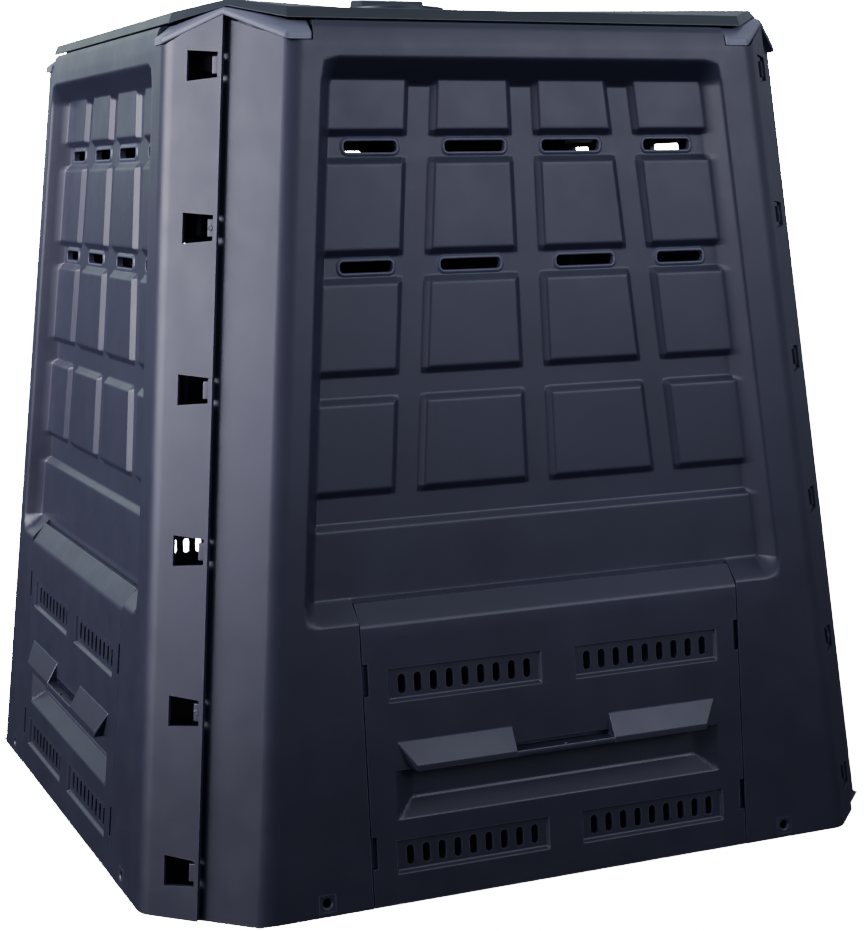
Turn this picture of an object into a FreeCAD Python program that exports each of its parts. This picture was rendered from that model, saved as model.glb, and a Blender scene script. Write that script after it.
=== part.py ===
import FreeCAD, Part
import math
import os
import MeshPart
from FreeCAD import Vector

"""Garden compost bin: four interlocking wall panels, a sliding hatch in each, and a hinged vented lid.

Millimetres. Z is up and the ground is z = 0. The origin is the centre of the footprint.
The front wall faces -Y. Every wall is the front wall turned about Z by a quarter turn.
A point of a wall is given by u, its distance from the wall's middle, by its height z, and by
its depth, which is measured level from the leaning outer face towards the inside.
"""

# Overall shape
foot_half_width = 400.0
rim_half_width = 326.0
rim_height = 806.0
corner_cut = 88.0
wall_thickness = 4.0
fold_radius = 26.0
fold_steps = 4

# Working allowances
weld = 0.5
overrun = 2.0
seat_gap = 0.3

# Wall top, from the rim down
face_drop = 11.0
face_top = rim_height - face_drop
cap_seat_drop = 18.0
cap_seat_height = rim_height - cap_seat_drop
gable_rise = 24.0
gable_peak = cap_seat_height + gable_rise
rim_setback = 6.0
rim_shelf_width = 22.0
cap_arm = 24.0
cap_end_gap = 2.0

# Corner joint
window_flange_stand = 3.0
plain_flange_drop = 5.0
plain_peak_drop = 3.0
seam_gap = 1.0
tongue_reach = 3.5
window_count = 6
first_window = 43.0
top_window_drop = 38.0
window_width = 31.0
window_height = 28.0
window_taper = 2.5
window_bar = 4.0
hook_width = 6.0
hook_height = 16.0
hook_stand = 7.0
hook_arm_seat = 2.0

# Hatch
hatch_half_width = 200.0
hatch_foot = 1.0
hatch_bend = 260.0
hatch_top_rise = 19.0
hatch_top = hatch_bend + hatch_top_rise
hatch_top_depth = 13.7
hatch_thickness = 3.5
hatch_side_gap = 1.2
hatch_rim_depth = 12.0
hatch_overlap = 3.0
hatch_edge = 1.0

# Recess in each wall
recess_margin = 122.5
recess_side_draft = 16.5
recess_top_drop = 33.0
recess_top = rim_height - recess_top_drop
recess_top_draft = 24.0
recess_clear = 4.0
recess_bottom = hatch_bend + recess_clear
recess_depth = 24.0
recess_corner = 12.0
sill_rise = 19.0
ledge_rise = 82.0
ledge_height = recess_bottom + ledge_rise
hollow_inset = 3.6

# Raised blocks in the recess
block_depth = 18.3
block_gap = 30.7
block_draft = 6.0
block_rows = 3
lowest_block_clear = 35.5
lowest_block = ledge_height + lowest_block_clear
short_row_drop = 64.0
short_row = recess_top - short_row_drop
short_row_height = 46.0
block_pitch = (short_row - lowest_block) / block_rows
channel_half = 16.6
column_margin = 105.0

# Vent slots of a wall
slot_height = 10.0
slot_corner = 3.2
slot_pad_height = 20.0
slot_pad_overhang = 7.0
slot_pad_corner = 6.5
slot_pad_stand = 2.0
inner_slot_clear = 27.5
inner_slot_length = 61.5
outer_slot_clear = 21.7
outer_slot_length = 51.5

# Ground peg holes
peg_hole = 8.0
peg_hole_clear = 46.0
peg_hole_height = 12.5

# Hatch guides and lugs
lug_reach = 6.0
lug_height = 30.0
lug_thickness = 4.0
lug_clearance = 1.0
notch_depth = 5.0
guide_wall = 3.0
guide_foot = 5.0
guide_top_clear = 2.0
guide_top = hatch_bend - guide_top_clear
lower_lug = 36.0
upper_lug_drop = 62.0
upper_lug = guide_top - upper_lug_drop

# Hatch grip
pocket_floor = 79.0
pocket_slope = 15.5
pocket_depth = 13.5
pocket_half_width = 172.0
pocket_end_draft = 20.0
hood_rise = 51.0
hood_bottom = pocket_floor + hood_rise
hood_slope_height = 21.0
hood_top = hood_bottom + hood_slope_height
hood_lip = 6.0
hood_stand = 10.0
hood_end_inset = 2.0
hood_half_top = pocket_half_width - hood_end_inset
hood_end_slope = 15.0
hood_half_bottom = hood_half_top - hood_end_slope
finger_gap_half = 52.0
finger_gap_depth = 8.0
finger_gap_height = 5.0

# Hatch grilles
grille_half_height = 15.5
grille_start = 18.5
grille_end = 175.0
grille_recess = 2.0
grille_slots = 9
grille_slot_width = 7.6
grille_slot_height = 18.5
grille_first_slot = 32.0
grille_pitch = 16.1
lower_grille = 44.0
upper_grille_drop = 56.5
upper_grille = hatch_bend - upper_grille_drop

# Corner caps
cap_stand = 1.5
cap_seam_stand = 3.5
cap_depth = 14.0
cap_band = 6.5
cap_skirt_thickness = 3.0
cap_skirt_drop = 26.0
lid_clearance = 0.8

# Lid
lid_foot_gap = 2.0
lid_foot = rim_height + lid_foot_gap
lid_edge_height = 10.0
lid_edge_lean = 4.0
lid_gable = 12.5
lid_edge_gable = 9.5
lid_rise = 32.0
lid_crown = lid_foot + lid_rise
lid_crown_half = 64.0
lid_thickness = 3.5
lid_rest_width = 4.0
lid_rest_inset = 7.0

# Lid hinges
hinge_offset = 150.0
hinge_axis_setback = 10.0
hinge_axis_rise = 4.0
hinge_axis_height = lid_foot + hinge_axis_rise
hinge_pin_radius = 3.5
hinge_running_gap = 0.25
pin_seat_gap = 0.15
knuckle_radius = 7.5
knuckle_width = 29.0
knuckle_arm_height = 8.0
hinge_side_gap = 0.5
bracket_lug_width = 6.0
bracket_thickness = 4.0
bracket_height = 18.0
bracket_clear = 2.0
bracket_foot = face_top - bracket_height - bracket_clear
pin_head_radius = 5.5
pin_head_thickness = 2.5
eye_sides = 16

# Vent dial in the middle of the lid
dial_radius = 54.0
dial_sides = 64
dial_height = 6.0
dial_top = lid_crown + dial_height
dial_gap = 0.3
dial_shaft_radius = 6.0
dial_running_gap = 0.25
air_window_inner = 24.0
air_window_outer = 44.0
air_window_spread = 16.0
air_window_count = 4
air_window_phase = 45.0
grip_long_end = 52.0
grip_short_end = 32.0
grip_half_width = 11.0
grip_top_share = 0.96
grip_top_narrowing = 0.7
grip_height = 8.5
grip_top = dial_top + grip_height
clip_half_width = 10.0
clip_thickness = 3.0
tail_half_width = 4.0
shaft_tail = 1.5

lean = (foot_half_width - rim_half_width) / rim_height
root2 = math.sqrt(2.0)
fold_shift = math.tan(math.radians(22.5))


def half_width(z):
    """Distance from the bin's axis to the outer face of a wall at height z."""
    return foot_half_width - lean * z


def on_wall(u, z, depth):
    """A point of the front wall."""
    return Vector(u, depth - half_width(z), z)


def at_corner(side, along, outward, z):
    """A point by the seam at the front wall's right (side 1) or left (side -1) corner.

    along runs past the seam, away from the front wall, and outward is square to the corner.
    """
    seam = half_width(z) - corner_cut / 2.0
    x = seam + (along + outward) / root2
    y = -seam + (along - outward) / root2
    return Vector(side * x, y, z)


def polyhedron(faces):
    """A closed solid from flat faces, each a list of points."""
    sides = [Part.Face(Part.makePolygon(points + [points[0]])) for points in faces]
    shell = Part.makeShell(sides)
    shell.sewShape()
    solid = Part.makeSolid(shell)
    if solid.Volume < 0.0:
        shell.reverse()
        solid = Part.makeSolid(shell)
    return solid


def between(first, second, split=False):
    """A solid between two outlines with the same number of points; split makes its faces triangles."""
    count = len(first)
    if split:
        faces = [[ends[0], ends[i], ends[i + 1]] for ends in (first, second) for i in range(1, count - 1)]
    else:
        faces = [list(first), list(second)]
    for i in range(count):
        j = (i + 1) % count
        if split:
            faces.append([first[i], first[j], second[j]])
            faces.append([first[i], second[j], second[i]])
        else:
            faces.append([first[i], first[j], second[j], second[i]])
    return polyhedron(faces)


def box(x0, x1, y0, y1, z0, z1):
    return Part.makeBox(x1 - x0, y1 - y0, z1 - z0, Vector(x0, y0, z0))


def fuse_all(solid, others):
    return solid.fuse(others).removeSplitter() if others else solid


def upright(left, right, low, high):
    """An upright rectangle or trapezium; left and right are functions of z."""
    return [(left(low), low), (right(low), low), (right(high), high), (left(high), high)]


def cut_corners(left, right, low, high, cut):
    """The same with its corners cut."""
    return [
        (left(low) + cut, low), (right(low) - cut, low),
        (right(low + cut), low + cut), (right(high - cut), high - cut),
        (right(high) - cut, high), (left(high) + cut, high),
        (left(high - cut), high - cut), (left(low + cut), low + cut),
    ]


def wall_block(left, right, low, high, front, back, draft):
    """A raised block on a wall whose sides spread by draft from its front to its back."""
    small = upright(left, right, low, high)
    large = upright(lambda z: left(z) - draft, lambda z: right(z) + draft, low - draft, high + draft)
    return between(
        [on_wall(u, z, front) for u, z in small], [on_wall(u, z, back) for u, z in large])


def along_x(profile, x0, x1):
    """A solid with one outline of points (depth, z) from x0 to x1."""
    ends = [[on_wall(x, z, depth) for depth, z in profile] for x in (x0, x1)]
    return between(ends[0], ends[1])


def fold_arc(side, cut, radius, z):
    """Points round one fold of the wall at height z; cut sets where the unrounded fold would be."""
    tangent = fold_radius * fold_shift
    h = half_width(z)
    points = []
    for i in range(fold_steps + 1):
        angle = math.radians(45.0 * i / fold_steps)
        x = h - cut - tangent + radius * math.sin(angle)
        points.append(Vector(side * x, fold_radius - h - radius * math.cos(angle), z))
    return points


def wall_plan(z):
    """Plan of the wall's skin at height z: outer line, then inner line."""
    plain_cut = corner_cut + plain_flange_drop * root2
    window_cut = corner_cut - window_flange_stand * root2
    inner_radius = fold_radius - wall_thickness
    outer = [at_corner(-1, tongue_reach, -plain_flange_drop, z)]
    outer += reversed(fold_arc(-1, plain_cut, fold_radius, z))
    outer += fold_arc(1, window_cut, fold_radius, z)
    outer.append(at_corner(1, 0.0, window_flange_stand, z))
    inner = [at_corner(1, 0.0, window_flange_stand - wall_thickness, z)]
    inner += reversed(fold_arc(1, window_cut, inner_radius, z))
    inner += fold_arc(-1, plain_cut, inner_radius, z)
    inner.append(at_corner(-1, tongue_reach, -plain_flange_drop - wall_thickness, z))
    return outer + inner


def rim_end():
    """Half the length of the wall's straight rim, which ends short of the corner caps' arms."""
    return half_width(cap_seat_height) - corner_cut - cap_arm - cap_end_gap


def top_profile():
    """What the wall keeps below its top line, seen from the front."""
    seam = half_width(gable_peak) - corner_cut / 2.0
    fold = half_width(cap_seat_height) - corner_cut
    stand = window_flange_stand
    far = foot_half_width
    end = rim_end()
    outline = [
        (-far, 0.0), (-far, cap_seat_height), (-seam - tongue_reach, cap_seat_height),
        (plain_flange_drop / root2 - seam, gable_peak - plain_peak_drop), (-fold, cap_seat_height),
        (-end, cap_seat_height), (-end, face_top), (end, face_top), (end, cap_seat_height),
        (fold + fold_shift * stand, cap_seat_height), (seam + stand / root2 + seam_gap, gable_peak),
        (far, gable_peak), (far, 0.0),
    ]
    points = [Vector(x, -far - overrun, z) for x, z in outline]
    return Part.Face(Part.makePolygon(points + [points[0]])).extrude(Vector(0, far, 0))


def wall_rim():
    """The lip that leans in at the wall's top and the level shelf behind it, which carries the lid."""
    t = wall_thickness
    profile = [
        (0.0, cap_seat_height), (0.0, face_top), (rim_setback, rim_height),
        (rim_shelf_width, rim_height), (rim_shelf_width, rim_height - t),
        (rim_setback + t / 2.0, rim_height - t), (t, face_top - t / 2.0), (t, cap_seat_height),
    ]
    return along_x(profile, -rim_end(), rim_end())


def recess_outline(margin, low, high, cut):
    side = lambda z: half_width(z) - recess_margin - margin
    return cut_corners(lambda z: -side(z), side, low, high, cut)


def recess_tub(grow):
    """The recess as a solid, or the tub around it when grow is the wall's thickness."""
    deep = recess_depth + grow
    share = deep / recess_depth
    front = recess_outline(-grow, recess_bottom - grow, recess_top + grow, recess_corner)
    back = recess_outline(
        share * recess_side_draft - grow, sill_height(deep) - grow,
        recess_top - share * recess_top_draft + grow, recess_corner)
    return between(
        [on_wall(u, z, 0.0) for u, z in front], [on_wall(u, z, deep) for u, z in back])


def column_line(z):
    """Where the channel between the inner and the outer blocks runs at height z."""
    return half_width(z) - recess_margin - column_margin


def block_spans():
    """Left and right edges of the four block columns, as functions of z."""
    edge = lambda z: half_width(z) - recess_margin - recess_side_draft + block_draft / 2.0
    inner = (lambda z: channel_half, lambda z: column_line(z) - channel_half)
    outer = (lambda z: column_line(z) + channel_half, edge)
    spans = []
    for left, right in (inner, outer):
        spans.append((left, right))
        spans.append((lambda z, f=right: -f(z), lambda z, f=left: -f(z)))
    return spans


def row_heights():
    """Bottom and top of each row of blocks, from the lowest up."""
    rows = []
    for i in range(block_rows):
        low = lowest_block + i * block_pitch
        rows.append((low, low + block_pitch - block_gap))
    rows.append((short_row, short_row + short_row_height))
    return rows


def wall_blocks(front, back, draft, inset):
    """All raised blocks of a wall and the plain band under them."""
    blocks = []
    for low, high in row_heights():
        for left, right in block_spans():
            blocks.append(wall_block(
                lambda z, f=left: f(z) + inset, lambda z, f=right: f(z) - inset,
                low + inset, high - inset, front, back, draft))
    side = lambda z: half_width(z) - recess_margin - recess_side_draft + block_draft / 2.0 - inset
    low = recess_bottom + sill_rise
    blocks.append(wall_block(
        lambda z: -side(z), side, low + inset, ledge_height - inset, front, back, draft))
    return blocks


def slot_rows():
    """Heights of the two rows of vent slots, midway between rows of blocks."""
    return [lowest_block + (i + 1) * block_pitch - block_gap / 2.0 for i in (block_rows - 2, block_rows - 1)]


def slot_ends(z):
    """Ends of the four vent slots at height z."""
    inner = column_line(z) - inner_slot_clear
    outer = column_line(z) + outer_slot_clear
    spans = [(inner - inner_slot_length, inner), (outer, outer + outer_slot_length)]
    return spans + [(-right, -left) for left, right in spans]


def level_slot(u0, u1, z, height, corner, front, back):
    """A level oblong with cut corners, from one depth to another behind the wall's face at height z."""
    outline = cut_corners(lambda v: u0, lambda v: u1, z - height / 2.0, z + height / 2.0, corner)
    y = -half_width(z)
    return between(
        [Vector(u, y + front, v) for u, v in outline], [Vector(u, y + back, v) for u, v in outline])


def guide_rails(side):
    """Channel beside the hatch opening in which the hatch's lugs slide, with its seat."""
    opening = hatch_half_width + hatch_side_gap
    back = wall_thickness + lug_clearance + lug_thickness + lug_clearance
    web = hatch_half_width + lug_reach + 2.0 * lug_clearance
    front = wall_thickness - weld
    rear = back + guide_wall
    inner = opening + lug_clearance
    outer = web + guide_wall
    seat_top = lower_lug - seat_gap
    parts = []
    for near, start, low, high in (
            (web, front, guide_foot, guide_top),
            (inner, back, guide_foot, guide_top),
            (inner, front, seat_top - guide_wall, seat_top)):
        u0, u1 = sorted((side * near, side * outer))
        parts.append(along_x([(start, low), (start, high), (rear, high), (rear, low)], u0, u1))
    return parts


def sill_height(depth):
    """Height of the recess's sloping sill at a depth behind the wall's face."""
    return recess_bottom + sill_rise * depth / block_depth


def hatch_opening():
    """What is cut from a wall for the hatch, and the way up for its lugs through the sill.

    The hatch's top edge lies flush in the sill, so the opening ends just behind it.
    """
    half = hatch_half_width + hatch_side_gap
    top = hatch_top - hatch_overlap
    deep = recess_depth + 2.0 * wall_thickness
    near = -overrun
    rear = hatch_top_depth + hatch_thickness + seat_gap
    mouth = along_x([
        (near, -overrun), (near, sill_height(rear)), (rear, sill_height(rear)), (rear, top),
        (deep, top), (deep, -overrun)], -half, half)
    reach = hatch_half_width + lug_reach + lug_clearance
    front = wall_thickness
    back = wall_thickness + lug_thickness + 2.0 * lug_clearance
    high = hatch_top + wall_thickness
    way = along_x([(front, guide_top), (front, high), (back, high), (back, guide_top)], -reach, reach)
    return [mouth, way]


def window_centre(index):
    """Height of the middle of a window in the flange, counted from the foot."""
    last = rim_height - top_window_drop
    return first_window + index * (last - first_window) / (window_count - 1)


def corner_window(index):
    """One window of the flange at the wall's right."""
    z = window_centre(index)
    near = -window_bar
    far = near - window_width
    rise = window_height / 2.0
    taper = window_taper
    ends = []
    for outward in (window_flange_stand - wall_thickness - overrun, window_flange_stand + overrun):
        ends.append([
            at_corner(1, near, outward, z - rise + taper), at_corner(1, near, outward, z + rise - taper),
            at_corner(1, far, outward, z + rise), at_corner(1, far, outward, z - rise)])
    return between(ends[0], ends[1], split=True)


def hook_block(near, far, low, high, back, front):
    """A block at the wall's left corner, between two distances past the seam."""
    ends = []
    for outward in (back, front):
        ends.append([
            at_corner(-1, near, outward, low), at_corner(-1, near, outward, high),
            at_corner(-1, far, outward, high), at_corner(-1, far, outward, low)])
    return between(ends[0], ends[1], split=True)


def corner_hook(index):
    """An arm on the tongue at the wall's left, with the hook that stands in the neighbour's window."""
    z = window_centre(index)
    near = window_bar + seam_gap / 2.0
    far = near + hook_width
    low = z - hook_height / 2.0
    high = z + hook_height / 2.0
    back = -plain_flange_drop - wall_thickness
    front = -plain_flange_drop
    arm = hook_block(hook_arm_seat, far, low, high, back, front)
    hook = hook_block(near, far, low, high, front - weld, front - weld + hook_stand)
    return arm.fuse(hook)


def make_wall():
    """The front wall panel."""
    skin = between(wall_plan(0.0), wall_plan(gable_peak)).common(top_profile())
    body = fuse_all(skin, [wall_rim(), recess_tub(wall_thickness)])
    body = body.cut(recess_tub(0.0))
    floor = recess_depth + weld
    body = fuse_all(body, wall_blocks(block_depth, floor, block_draft, 0.0))
    behind = recess_depth + wall_thickness + weld
    hollows = wall_blocks(block_depth + wall_thickness, behind, 0.0, hollow_inset)
    pads = []
    slots = []
    for z in slot_rows():
        for u0, u1 in slot_ends(z):
            pads.append(level_slot(
                u0 - slot_pad_overhang, u1 + slot_pad_overhang, z, slot_pad_height, slot_pad_corner,
                recess_depth - slot_pad_stand, floor))
            slots.append(level_slot(u0, u1, z, slot_height, slot_corner, 0.0, behind + slot_height))
    body = fuse_all(body, pads)
    pegs = []
    for side in (-1, 1):
        u = side * (hatch_half_width + peg_hole_clear)
        low = peg_hole_height - peg_hole / 2.0
        y = -foot_half_width
        pegs.append(box(
            u - peg_hole / 2.0, u + peg_hole / 2.0, y - overrun, y + wall_thickness + overrun * 2.0,
            low, low + peg_hole))
    windows = [corner_window(i) for i in range(window_count)]
    body = body.cut(hollows + slots + pegs + windows + hatch_opening())
    rails = [rail for side in (-1, 1) for rail in guide_rails(side)]
    hooks = [corner_hook(i) for i in range(window_count)]
    return fuse_all(body, rails + hooks)


def grille_spots():
    """Middle of every slot of the hatch's four grilles."""
    spots = []
    for z in (lower_grille, upper_grille):
        for side in (-1, 1):
            for i in range(grille_slots):
                spots.append((side * (grille_first_slot + i * grille_pitch), z))
    return spots


def make_hatch():
    """The front wall's hatch."""
    t = hatch_thickness
    half = hatch_half_width
    sheet = [
        (0.0, hatch_foot), (0.0, hatch_bend), (hatch_top_depth, hatch_top),
        (hatch_top_depth + t, hatch_top), (hatch_top_depth + t, hatch_top - hatch_edge),
        (t, hatch_bend - hatch_edge), (t, hatch_foot)]
    body = along_x(sheet, -half, half)
    rims = []
    for side in (-1, 1):
        u0, u1 = sorted((side * (half - t), side * half))
        rim = [(0.0, hatch_foot), (0.0, hatch_bend - t), (hatch_rim_depth, hatch_bend - t),
               (hatch_rim_depth, hatch_foot)]
        rims.append(along_x(rim, u0, u1))
        for low in (lower_lug, upper_lug):
            front = wall_thickness + lug_clearance
            lug = [(front, low), (front, low + lug_height), (front + lug_thickness, low + lug_height),
                   (front + lug_thickness, low)]
            u0, u1 = sorted((side * (half - t), side * (half + lug_reach)))
            rims.append(along_x(lug, u0, u1))
    rims.append(along_x(
        [(0.0, hatch_foot), (0.0, hatch_foot + t), (hatch_rim_depth, hatch_foot + t),
         (hatch_rim_depth, hatch_foot)], -half, half))
    rims.append(finger_backing())
    rims.append(grip_pocket(t))
    body = fuse_all(body, rims)
    body = fuse_all(body, grip_hoods() + [finger_bar()])
    cuts = [grip_pocket(0.0), finger_gap()]
    for side in (-1, 1):
        for low in (lower_lug, upper_lug):
            u0, u1 = sorted((side * (half - notch_depth), side * (half + overrun)))
            cuts.append(along_x(
                [(-overrun, low), (-overrun, low + lug_height), (wall_thickness, low + lug_height),
                 (wall_thickness, low)], u0, u1))
    for z in (lower_grille, upper_grille):
        for side in (-1, 1):
            u0, u1 = sorted((side * grille_start, side * grille_end))
            low = z - grille_half_height
            high = z + grille_half_height
            cuts.append(along_x(
                [(-overrun, low), (-overrun, high), (grille_recess, high), (grille_recess, low)], u0, u1))
    for u, z in grille_spots():
        y = -half_width(z)
        w = grille_slot_width / 2.0
        h = grille_slot_height / 2.0
        cuts.append(box(u - w, u + w, y - overrun, y + 2.0 * t, z - h, z + h))
    return body.cut(cuts)


def grip_pocket(grow):
    """The pocket under the hood as a solid, or the tub around it when grow is the sheet's thickness."""
    half = pocket_half_width + grow
    back_half = half - pocket_end_draft
    low = pocket_floor - grow
    high = hood_bottom - hood_lip + grow
    front = -overrun if grow == 0.0 else 0.0
    deep = pocket_depth + grow
    start = [(-half, low), (half, low), (half, high), (-half, high)]
    end = [(-back_half, low + pocket_slope), (back_half, low + pocket_slope), (back_half, high),
           (-back_half, high)]
    return between([on_wall(u, z, front) for u, z in start], [on_wall(u, z, deep) for u, z in end])


def grip_hoods():
    """Two wedges that stand out from the hatch and are lifted with the fingers."""
    hoods = []
    low = hood_bottom - hood_lip
    for side in (-1, 1):
        near = side * finger_gap_half
        base = [(near, low), (side * hood_half_bottom, low), (side * hood_half_top, hood_top),
                (near, hood_top)]
        inside = [on_wall(u, z, hatch_thickness / 2.0) for u, z in base]
        far_low = side * hood_half_bottom
        foot = [on_wall(near, low, -hood_stand), on_wall(far_low, low, -hood_stand)]
        lip = [on_wall(far_low, hood_bottom, -hood_stand), on_wall(near, hood_bottom, -hood_stand)]
        crest = [on_wall(side * hood_half_top, hood_top, 0.0), on_wall(near, hood_top, 0.0)]
        hoods.append(polyhedron([
            inside,
            [inside[0], inside[1], foot[1], foot[0]],
            [foot[0], foot[1], lip[0], lip[1]],
            [lip[1], lip[0], crest[0], crest[1]],
            [crest[1], crest[0], inside[2], inside[3]],
            [inside[0], foot[0], lip[1]],
            [inside[0], lip[1], crest[1]],
            [inside[0], crest[1], inside[3]],
            [inside[1], foot[1], lip[0]],
            [inside[1], lip[0], crest[0]],
            [inside[1], crest[0], inside[2]],
        ]))
    return hoods


def finger_backing():
    """Thicker stretch of the hatch behind the gap between the hoods."""
    deep = finger_gap_depth + hatch_thickness
    low = hood_bottom - hood_lip
    high = hood_bottom + finger_gap_height + hatch_thickness
    half = finger_gap_half + hatch_thickness
    return along_x([(0.0, low), (0.0, high), (deep, high), (deep, low)], -half, half)


def finger_bar():
    """The bar that carries the hoods' lip on across the gap between them."""
    low = hood_bottom - hood_lip
    back = hatch_thickness / 2.0
    profile = [(back, low), (-hood_stand, low), (-hood_stand, hood_bottom), (back, hood_bottom)]
    return along_x(profile, -finger_gap_half - weld, finger_gap_half + weld)


def finger_gap():
    """The slot over the bar, under the edge of the hatch's face."""
    deep = finger_gap_depth
    high = hood_bottom + finger_gap_height
    profile = [(-overrun, hood_bottom), (-overrun, high), (deep, high), (deep, hood_bottom)]
    return along_x(profile, -finger_gap_half, finger_gap_half)


def cap_section(along, outer, inner, foot, shoulder, ridge):
    """Four points of the cap where it is along the corner: 0 at the seam, 1 at the fold, 2 at its end."""
    points = []
    for outward, z in ((outer, foot), (outer, shoulder), (inner, ridge), (inner, foot)):
        h = half_width(z)
        if along == 0:
            seam = h - corner_cut / 2.0
            points.append(Vector(seam + outward / root2, -seam - outward / root2, z))
        elif along == 1:
            points.append(Vector(h - corner_cut + fold_shift * outward, -h - outward, z))
        else:
            points.append(Vector(h - corner_cut - cap_arm, -h - outward, z))
    return points


def make_cap():
    """The cap over the front right corner, which bridges the seam and hooks behind both walls."""
    foot = cap_seat_height + seat_gap
    peak = gable_peak + seat_gap
    ridge = lid_foot - lid_clearance
    inner = -cap_depth
    seam = cap_section(0, cap_seam_stand, inner, peak, peak + cap_band, ridge + lid_gable)
    fold = cap_section(1, cap_stand, inner, foot, foot + cap_band, ridge)
    end = cap_section(2, cap_stand, inner, foot, foot + cap_band, ridge)
    half = fuse_all(between(seam, fold, split=True), [between(fold, end, split=True)])
    skirt_outer = -plain_flange_drop - wall_thickness - seat_gap
    skirt_inner = skirt_outer - cap_skirt_thickness
    top = cap_section(0, skirt_outer, skirt_inner, peak, peak, peak)
    side = cap_section(1, skirt_outer, skirt_inner, foot, foot, foot)
    low = cap_seat_height - cap_skirt_drop
    upper = [point + Vector(0, 0, weld) for point in (top[0], top[2], side[2], side[0])]
    lower = [Vector(p.x, p.y, low) for p in upper]
    half = fuse_all(half, [between(lower, upper, split=True)])
    other = half.mirror(Vector(0, 0, 0), Vector(1, 1, 0))
    return fuse_all(half, [other])


def lid_ring(inset, foot, gable):
    """Twelve points round the lid's edge: the folds are level and the seams stand higher."""
    half = half_width(rim_height) - rim_setback - inset
    cut = corner_cut - (2.0 - root2) * (rim_setback + inset)
    points = []
    for turn in range(4):
        quarter = FreeCAD.Rotation(Vector(0, 0, 1), 90.0 * turn)
        for x, y, z in ((half - cut, -half, foot), (half - cut / 2.0, cut / 2.0 - half, foot + gable),
                        (half, cut - half, foot)):
            points.append(quarter.multVec(Vector(x, y, z)))
    return points


def lid_shell(inset, drop, foot):
    """The lid's outer form, or its hollow when inset and drop are its thickness."""
    base = lid_ring(inset, foot, lid_gable)
    edge = lid_ring(inset + lid_edge_lean, lid_foot + lid_edge_height - drop, lid_edge_gable)
    crown_height = lid_crown - drop
    crown = [Vector(sx * lid_crown_half, sy * lid_crown_half, crown_height)
             for sx, sy in ((1, -1), (1, 1), (-1, 1), (-1, -1))]
    centre = Vector(0, 0, foot)
    count = len(base)
    faces = [list(crown)]
    for i in range(count):
        j = (i + 1) % count
        faces.append([centre, base[i], base[j]])
        faces.append([base[i], base[j], edge[j]])
        faces.append([base[i], edge[j], edge[i]])
    for turn in range(4):
        start, seam, finish = edge[3 * turn:3 * turn + 3]
        corner = crown[turn]
        following = edge[(3 * turn + 3) % count]
        faces.append([start, seam, corner])
        faces.append([seam, finish, corner])
        faces.append([finish, following, crown[(turn + 1) % 4], corner])
    return polyhedron(faces)


def air_windows(z0, z1):
    """Air windows round the lid's middle, which widen outwards."""
    windows = []
    edges = ((air_window_inner, -1), (air_window_outer, -1), (air_window_outer, 1), (air_window_inner, 1))
    for i in range(air_window_count):
        middle = air_window_phase + i * 360.0 / air_window_count
        corners = []
        for radius, side in edges:
            angle = math.radians(middle + side * air_window_spread)
            corners.append(Vector(radius * math.cos(angle), radius * math.sin(angle), z0))
        windows.append(Part.Face(Part.makePolygon(corners + [corners[0]])).extrude(Vector(0, 0, z1 - z0)))
    return windows


def hinge_axis_y():
    return half_width(rim_height) + hinge_axis_setback


def flat_sided(radius, sides):
    """Corners of a polygon whose flats lie at the radius."""
    half_turn = math.pi / sides
    reach = radius / math.cos(half_turn)
    angles = [(2.0 * i + 1.0) * half_turn for i in range(sides)]
    return [(reach * math.cos(angle), reach * math.sin(angle)) for angle in angles]


def moulded_eye(radius, x, width):
    """A bar along the hinge's axis from x on, with flats all round at its radius."""
    outline = [Vector(x, hinge_axis_y() + y, hinge_axis_height + z) for y, z in flat_sided(radius, eye_sides)]
    return Part.Face(Part.makePolygon(outline + [outline[0]])).extrude(Vector(width, 0, 0))


def lid_knuckles():
    """Hinge knuckles on the lid's back edge, with the bore for the pin."""
    parts = []
    bores = []
    y = hinge_axis_y()
    z = hinge_axis_height
    for side in (-1, 1):
        x = side * hinge_offset - knuckle_width / 2.0
        parts.append(moulded_eye(knuckle_radius, x, knuckle_width))
        start = half_width(rim_height) - rim_setback - lid_thickness
        top = lid_foot + lid_edge_height
        parts.append(box(x, x + knuckle_width, start, y, top - knuckle_arm_height, top))
        bore = hinge_pin_radius + hinge_running_gap
        bores.append(Part.makeCylinder(
            bore, knuckle_width + 2.0 * overrun, Vector(x - overrun, y, z), Vector(1, 0, 0)))
    return parts, bores


def make_lid():
    outer = lid_shell(0.0, 0.0, lid_foot)
    hollow = lid_shell(lid_thickness, lid_thickness, lid_foot - overrun)
    body = outer.cut(hollow)
    half = half_width(rim_height) - rim_setback - lid_rest_inset
    end = rim_end() - 2.0 * lid_rest_width
    low = rim_height + seat_gap
    rests = []
    for turn in range(4):
        rest = box(-end, end, -half, lid_rest_width - half, low, lid_foot + lid_edge_height - weld)
        rest.rotate(Vector(0, 0, 0), Vector(0, 0, 1), 90.0 * turn)
        rests.append(rest)
    knuckles, bores = lid_knuckles()
    body = fuse_all(body, rests + knuckles)
    low = lid_crown - 2.0 * lid_thickness
    high = lid_crown + overrun
    shaft = Part.makeCylinder(dial_shaft_radius + dial_running_gap, high - low, Vector(0, 0, low))
    return body.cut(bores + [shaft] + air_windows(low, high))


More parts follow.
